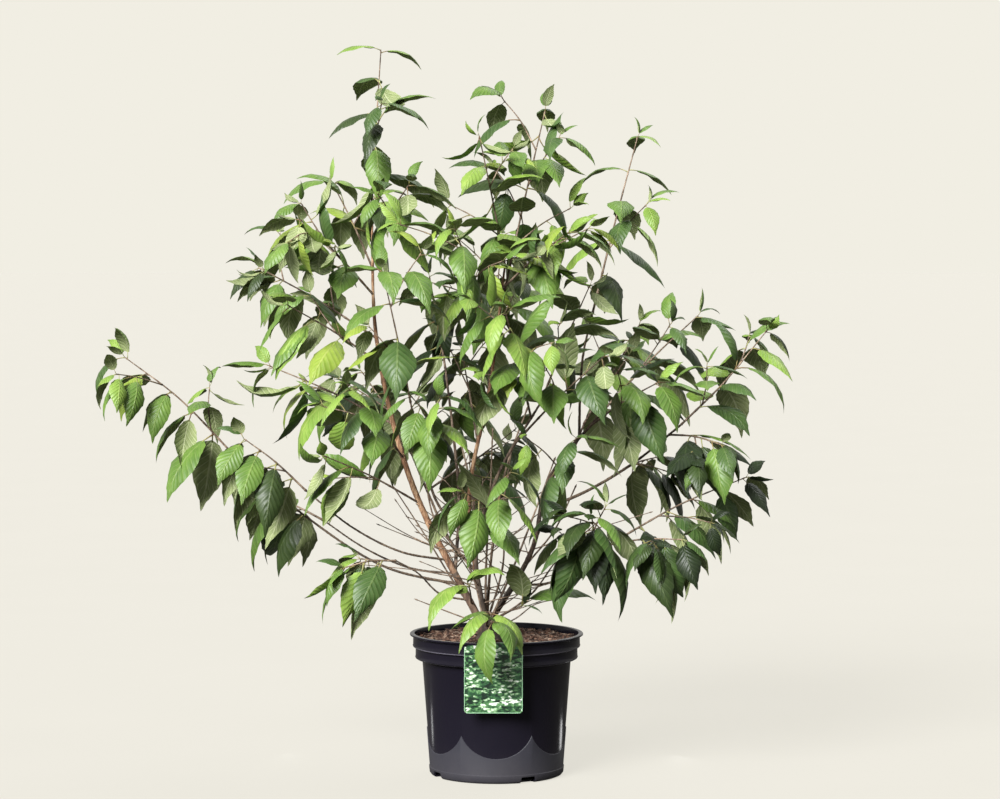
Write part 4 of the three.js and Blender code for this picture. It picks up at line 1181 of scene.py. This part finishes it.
rim = potSize["collar"] - potSize["wall"] - 1
rings = [(rim * (1 - i / bed["rings"]), soilTop) for i in range(bed["rings"])]
soil = turnBody("potting_mix", bed["segments"], [
    bed["foot"], (rim, potSize["collarFoot"] + 1), *rings, (1.5, soilTop),
])
for vertex in soil.data.vertices:
    x, y, z = (value / mm for value in vertex.co)
    if z > soilTop - 0.5:
        vertex.co.z = soilHeight(x, y) * mm
smoothByAngle(soil, 60)


def turned(shape, axes, angle):  # turns the points in place, in the plane of two axes
    c, s = math.cos(angle), math.sin(angle)
    shape[:, axes] = shape[:, axes] @ np.array([[c, s], [-s, c]])


def crumbArrays():  # ragged boxes of all lengths, strewn over the bed
    rng = np.random.default_rng(bed["seed"])
    corners = np.array([(x, y, z) for x in (-1, 1) for y in (-1, 1) for z in (-1, 1)], dtype=float) / 2
    box = [(0, 1, 3, 2), (4, 6, 7, 5), (0, 4, 5, 1), (2, 3, 7, 6), (0, 2, 6, 4), (1, 5, 7, 3)]
    least, most = bed["crumbMm"]
    parts = []
    for _ in range(bed["crumbs"]):
        radius = rim * math.sqrt(rng.uniform(0.02, 0.985))
        turn = rng.uniform(0, 2 * math.pi)
        length = min(rng.gamma(3, 1.15) + least, most)
        wide, thick = (length * rng.uniform(*bed[key]) for key in ("crumbWide", "crumbThick"))
        shape = corners * (length, wide, thick) * rng.uniform(*bed["ragged"], corners.shape)
        spin, tip = rng.uniform(0, 2 * math.pi), rng.normal(0, 0.5)
        turned(shape, [0, 2], tip)
        turned(shape, [0, 1], spin)
        radius = min(radius, rim - length * 0.6)  # clear of the wall
        x, y = radius * math.cos(turn), radius * math.sin(turn)
        parts.append((shape + (x, y, soilHeight(x, y) + 0.6), box))
    return joinArrays(parts)


# Potting mix: dark moist peat and fine bark that glints nowhere, and crumbs of composted pine
# bark from nearly black to dry grey-brown
def soilMaterial(name, stops, crumbMm):
    material, tree, shader, place = newMaterial(name)
    grains = node(tree, "TexVoronoi", {"Vector": place, "Scale": 1 / (crumbMm * mm)})
    own = node(tree, "SeparateXYZ", (grains.outputs["Color"],))  # one shade to a crumb
    rough = node(tree, "TexNoise", {"Vector": place, "Scale": 1 / (2 * mm), "Detail": 5})
    relief = node(tree, "Math", (grains, rough), operation="ADD")
    bump = node(tree, "Bump", {"Height": relief, "Strength": 0.9, "Distance": 1.2 * mm})
    colour = node(tree, "ValToRGB", (own,), stops)
    plug(tree, shader, {"Base Color": colour, "Roughness": 0.93, "Normal": bump})
    return material


mixMaterial = soilMaterial("peat and fine bark", (
    (0, "#180e0b"), (0.5, "#301c15"), (1, "#50362b"),
), 2.6)
crumbMaterial = soilMaterial("composted pine bark", (
    (0, "#1e130e"), (0.35, "#442e22"), (0.75, "#6b4d3c"), (1, "#948170"),
), 7)
soil.data.materials.append(mixMaterial)
ready(soil, "potting_soil", "soil")
points, faces = crumbArrays()
ready(meshPiece("bark_crumbs", points, faces, [crumbMaterial], smooth=False), "potting_soil", "soil")


# Picture card: thin printed plastic hooked over the lip on a tongue
cardForm = {
    "corner": 6, "thickness": 0.9, "gap": 0.35, "below": 2.6, "behind": 0.08, "overlap": 8,
    "inside": 130.5, "tongueFoot": 224, "borderLeft": 0.8, "borderRight": 1.2, "borderFoot": 1.2,
    "hook": 9,  # the print goes on this far over the lip
}


def uprightPlane(y, middle, width, height):  # faces the front; y in metres, the rest in mm
    deselectAll()
    bpy.ops.mesh.primitive_plane_add(
        size=1, location=(cardSize["centre"] * mm, y, middle * mm), rotation=(math.radians(90), 0, 0),
    )
    plane = bpy.context.object
    plane.scale = (width * mm, height * mm, 1)
    settle(plane)
    return plane


def cardPiece():  # a panel with round corners, and a tongue over the lip and down inside
    form = cardForm
    y = -(potSize["lip"] + form["gap"] + form["thickness"] / 2) * mm
    top = potSize["height"] - form["below"]
    foot = cardSize["foot"]
    panel = uprightPlane(y, (foot + top) / 2, cardSize["width"], top - foot)
    bpy.ops.object.mode_set(mode="EDIT")
    bpy.ops.mesh.select_all(action="SELECT")
    bpy.ops.mesh.bevel(offset=form["corner"] * mm, segments=6, affect="VERTICES")
    bpy.ops.object.mode_set(mode="OBJECT")
    high = (potSize["height"] + form["gap"] + form["thickness"] / 2) * mm
    y += form["behind"] * mm  # the tongue's foot lies a hair behind the panel's face
    tongue = uprightPlane(y, top - form["overlap"] / 2, cardSize["tongue"], form["overlap"])
    bpy.ops.object.mode_set(mode="EDIT")
    bpy.ops.mesh.select_all(action="DESELECT")
    bpy.ops.mesh.select_mode(type="EDGE")
    bpy.ops.object.mode_set(mode="OBJECT")
    for line in tongue.data.edges:
        line.select = all(tongue.data.vertices[v].co.z > (top - 1) * mm for v in line.vertices)
    bpy.ops.object.mode_set(mode="EDIT")
    inside, end = -form["inside"] * mm, form["tongueFoot"] * mm
    for step in ((0, 0, high - top * mm), (0, inside - y, 0), (0, 0, end - high)):
        bpy.ops.mesh.extrude_region_move(TRANSFORM_OT_translate={"value": step})
    bpy.ops.object.mode_set(mode="OBJECT")
    for part in (panel, tongue):
        applyModifier(part, "SOLIDIFY", thickness=form["thickness"] * mm, offset=0)
    pick(panel)
    tongue.select_set(True)
    bpy.ops.object.join()
    panel.name = "picture_tag"
    smoothByAngle(panel, 40)
    return panel


# Polystyrene sheet, offset printed under a clear gloss: plain clusters of leaf shapes in greens
# and white that gather in loose rows, with a narrow pale border
def cardMaterial():
    material, tree, shader, place = newMaterial("printed polystyrene sheet, gloss")
    parts = node(tree, "SeparateXYZ", (place,)).outputs
    left, right = (cardSize["centre"] + side * cardSize["width"] / 2 for side in (-1, 1))
    spans = (
        (parts["X"], left + cardForm["borderLeft"], right - cardForm["borderRight"]),
        (parts["Z"], cardSize["foot"] + cardForm["borderFoot"], potSize["height"] + cardForm["hook"]),
    )
    printed = 1.0
    for value, low, high in spans:
        for operation, edge in (("GREATER_THAN", low), ("LESS_THAN", high)):
            past = node(tree, "Math", (value, edge * mm), operation=operation)
            printed = node(tree, "Math", (past, printed), operation="MULTIPLY")
    flat = node(tree, "Mapping", {"Vector": place, "Scale": (0.6, 0, 1.3)}).outputs["Vector"]
    wobble = node(tree, "TexNoise", {"Vector": flat, "Scale": 1 / (4 * mm), "Detail": 4})
    shift = (wobble.outputs["Color"], (7 * mm, 0, 7 * mm), flat)
    bent = node(tree, "VectorMath", shift, operation="MULTIPLY_ADD")
    cells = node(tree, "TexVoronoi", {"Vector": bent, "Scale": 1 / (3.4 * mm)}).outputs
    own = node(tree, "SeparateXYZ", (cells["Color"],))
    rows = node(tree, "Mapping", {"Vector": place, "Scale": (0.3, 0, 1)})
    band = node(tree, "TexNoise", {
        "Vector": rows, "Scale": 1 / (16 * mm), "Detail": 3, "Roughness": 0.6,
    })
    tone = 0.0
    for value, share in ((own, 0.45), (band, 1.1), (cells["Distance"], -0.25)):
        tone = node(tree, "Math", (value, share, tone), operation="MULTIPLY_ADD")
    pattern = node(tree, "ValToRGB", (tone,), (
        (0.46, "#0d1f15"), (0.62, "#274f30"), (0.75, "#56834f"), (0.85, "#a9c2a0"), (0.93, "#e2e6df"),
    ))
    colour = node(tree, "Mix", {
        "Factor": printed, "A": linear("#8cb790"), "B": pattern,
    }, data_type="RGBA")
    plug(tree, shader, {"Base Color": colour, "Roughness": 0.3, "IOR": 1.59})
    return material


tag = cardPiece()
tag.data.materials.append(cardMaterial())
ready(tag, "printed_card", "picture_card")


# Studio: a wide cream floor, a pale surround and soft lights
studio = {
    "floor": "#f1eee3", "floorSize": 160, "floorDrop": 0.0006, "glow": 0.784, "surround": 0.38,
    "inSheen": 0.4,  # how much of the cream ground shows in glossy things
    "suns": {"key": ((-0.55, -0.95, 0.66), 7.9, 28), "back": ((0.5, 0.7, 1.0), 1.1, 40)},
    "cards": {  # small reflectors beside the pot, seen only in its sheen: place, aim, size, power
        "left": ((-0.36, 0.2, 0.02), (-0.11, -0.03, 0.08), (0.025, 0.03), 0.012),
        "right": ((0.315, 0.175, 0.02), (0.105, -0.04, 0.08), (0.04, 0.03), 0.022),
    },
}
deselectAll()
bpy.ops.mesh.primitive_circle_add(
    vertices=96, radius=studio["floorSize"] / 2, fill_type="NGON",
    location=(0, 0, -studio["floorDrop"]),
)
floor = bpy.context.object
floor.name = "studio_floor"
settle(floor)
# Matt cream paint, rolled on; its own glow keeps it as plain as the ground in the photograph
floorPaint, tree, shader, place = newMaterial("painted studio floor, matt")
fleck = node(tree, "TexNoise", {"Vector": place, "Scale": 3.0, "Detail": 2})
seenOnly = node(tree, "LightPath").outputs["Is Camera Ray"]
glow = node(tree, "Math", (seenOnly, studio["glow"]), operation="MULTIPLY")
plug(tree, shader, {
    "Base Color": node(tree, "ValToRGB", (fleck,), ((0.3, "#4f4d49"), (0.7, "#514f4b"))),
    "Emission Color": linear(studio["floor"]), "Emission Strength": glow,
    "Roughness": 0.9, "Specular IOR Level": 0.1,
})
floor.data.materials.append(floorPaint)

world = bpy.data.worlds.new("surround")
bpy.context.scene.world = world
world.use_nodes = True
tree = world.node_tree
lit = tree.nodes["Background"]
plug(tree, lit, {"Color": linear("#f6f7f8"), "Strength": studio["surround"]})
seen = node(tree, "Background", {"Color": linear(studio["floor"]), "Strength": 1.0})
rays = node(tree, "LightPath").outputs
weights = (rays["Is Glossy Ray"], studio["inSheen"], rays["Is Camera Ray"])
shown = node(tree, "Math", weights, operation="MULTIPLY_ADD")
mixed = node(tree, "MixShader", (shown, lit, seen))
tree.links.new(mixed.outputs[0], tree.nodes["World Output"].inputs["Surface"])


def addLamp(kind, name, place, way, energy):  # a lamp that shines along way
    bpy.ops.object.light_add(type=kind, location=place)
    lamp = bpy.context.object
    lamp.name = name
    lamp.data.energy = energy
    lamp.rotation_euler = way.to_track_quat("-Z", "Y").to_euler()
    return lamp


for name, (way, strength, spread) in studio["suns"].items():
    lamp = addLamp("SUN", name + "_light", Vector(way) * 3, -Vector(way), strength)
    lamp.data.angle = math.radians(spread)
for name, (place, aim, size, power) in studio["cards"].items():
    lamp = addLamp("AREA", name + "_reflector", place, Vector(aim) - Vector(place), power)
    lamp.data.shape = "RECTANGLE"
    lamp.data.size, lamp.data.size_y = size
    lamp.visible_camera = lamp.visible_diffuse = False
bpy.context.scene.view_settings.view_transform = "Standard"
print("studio set")
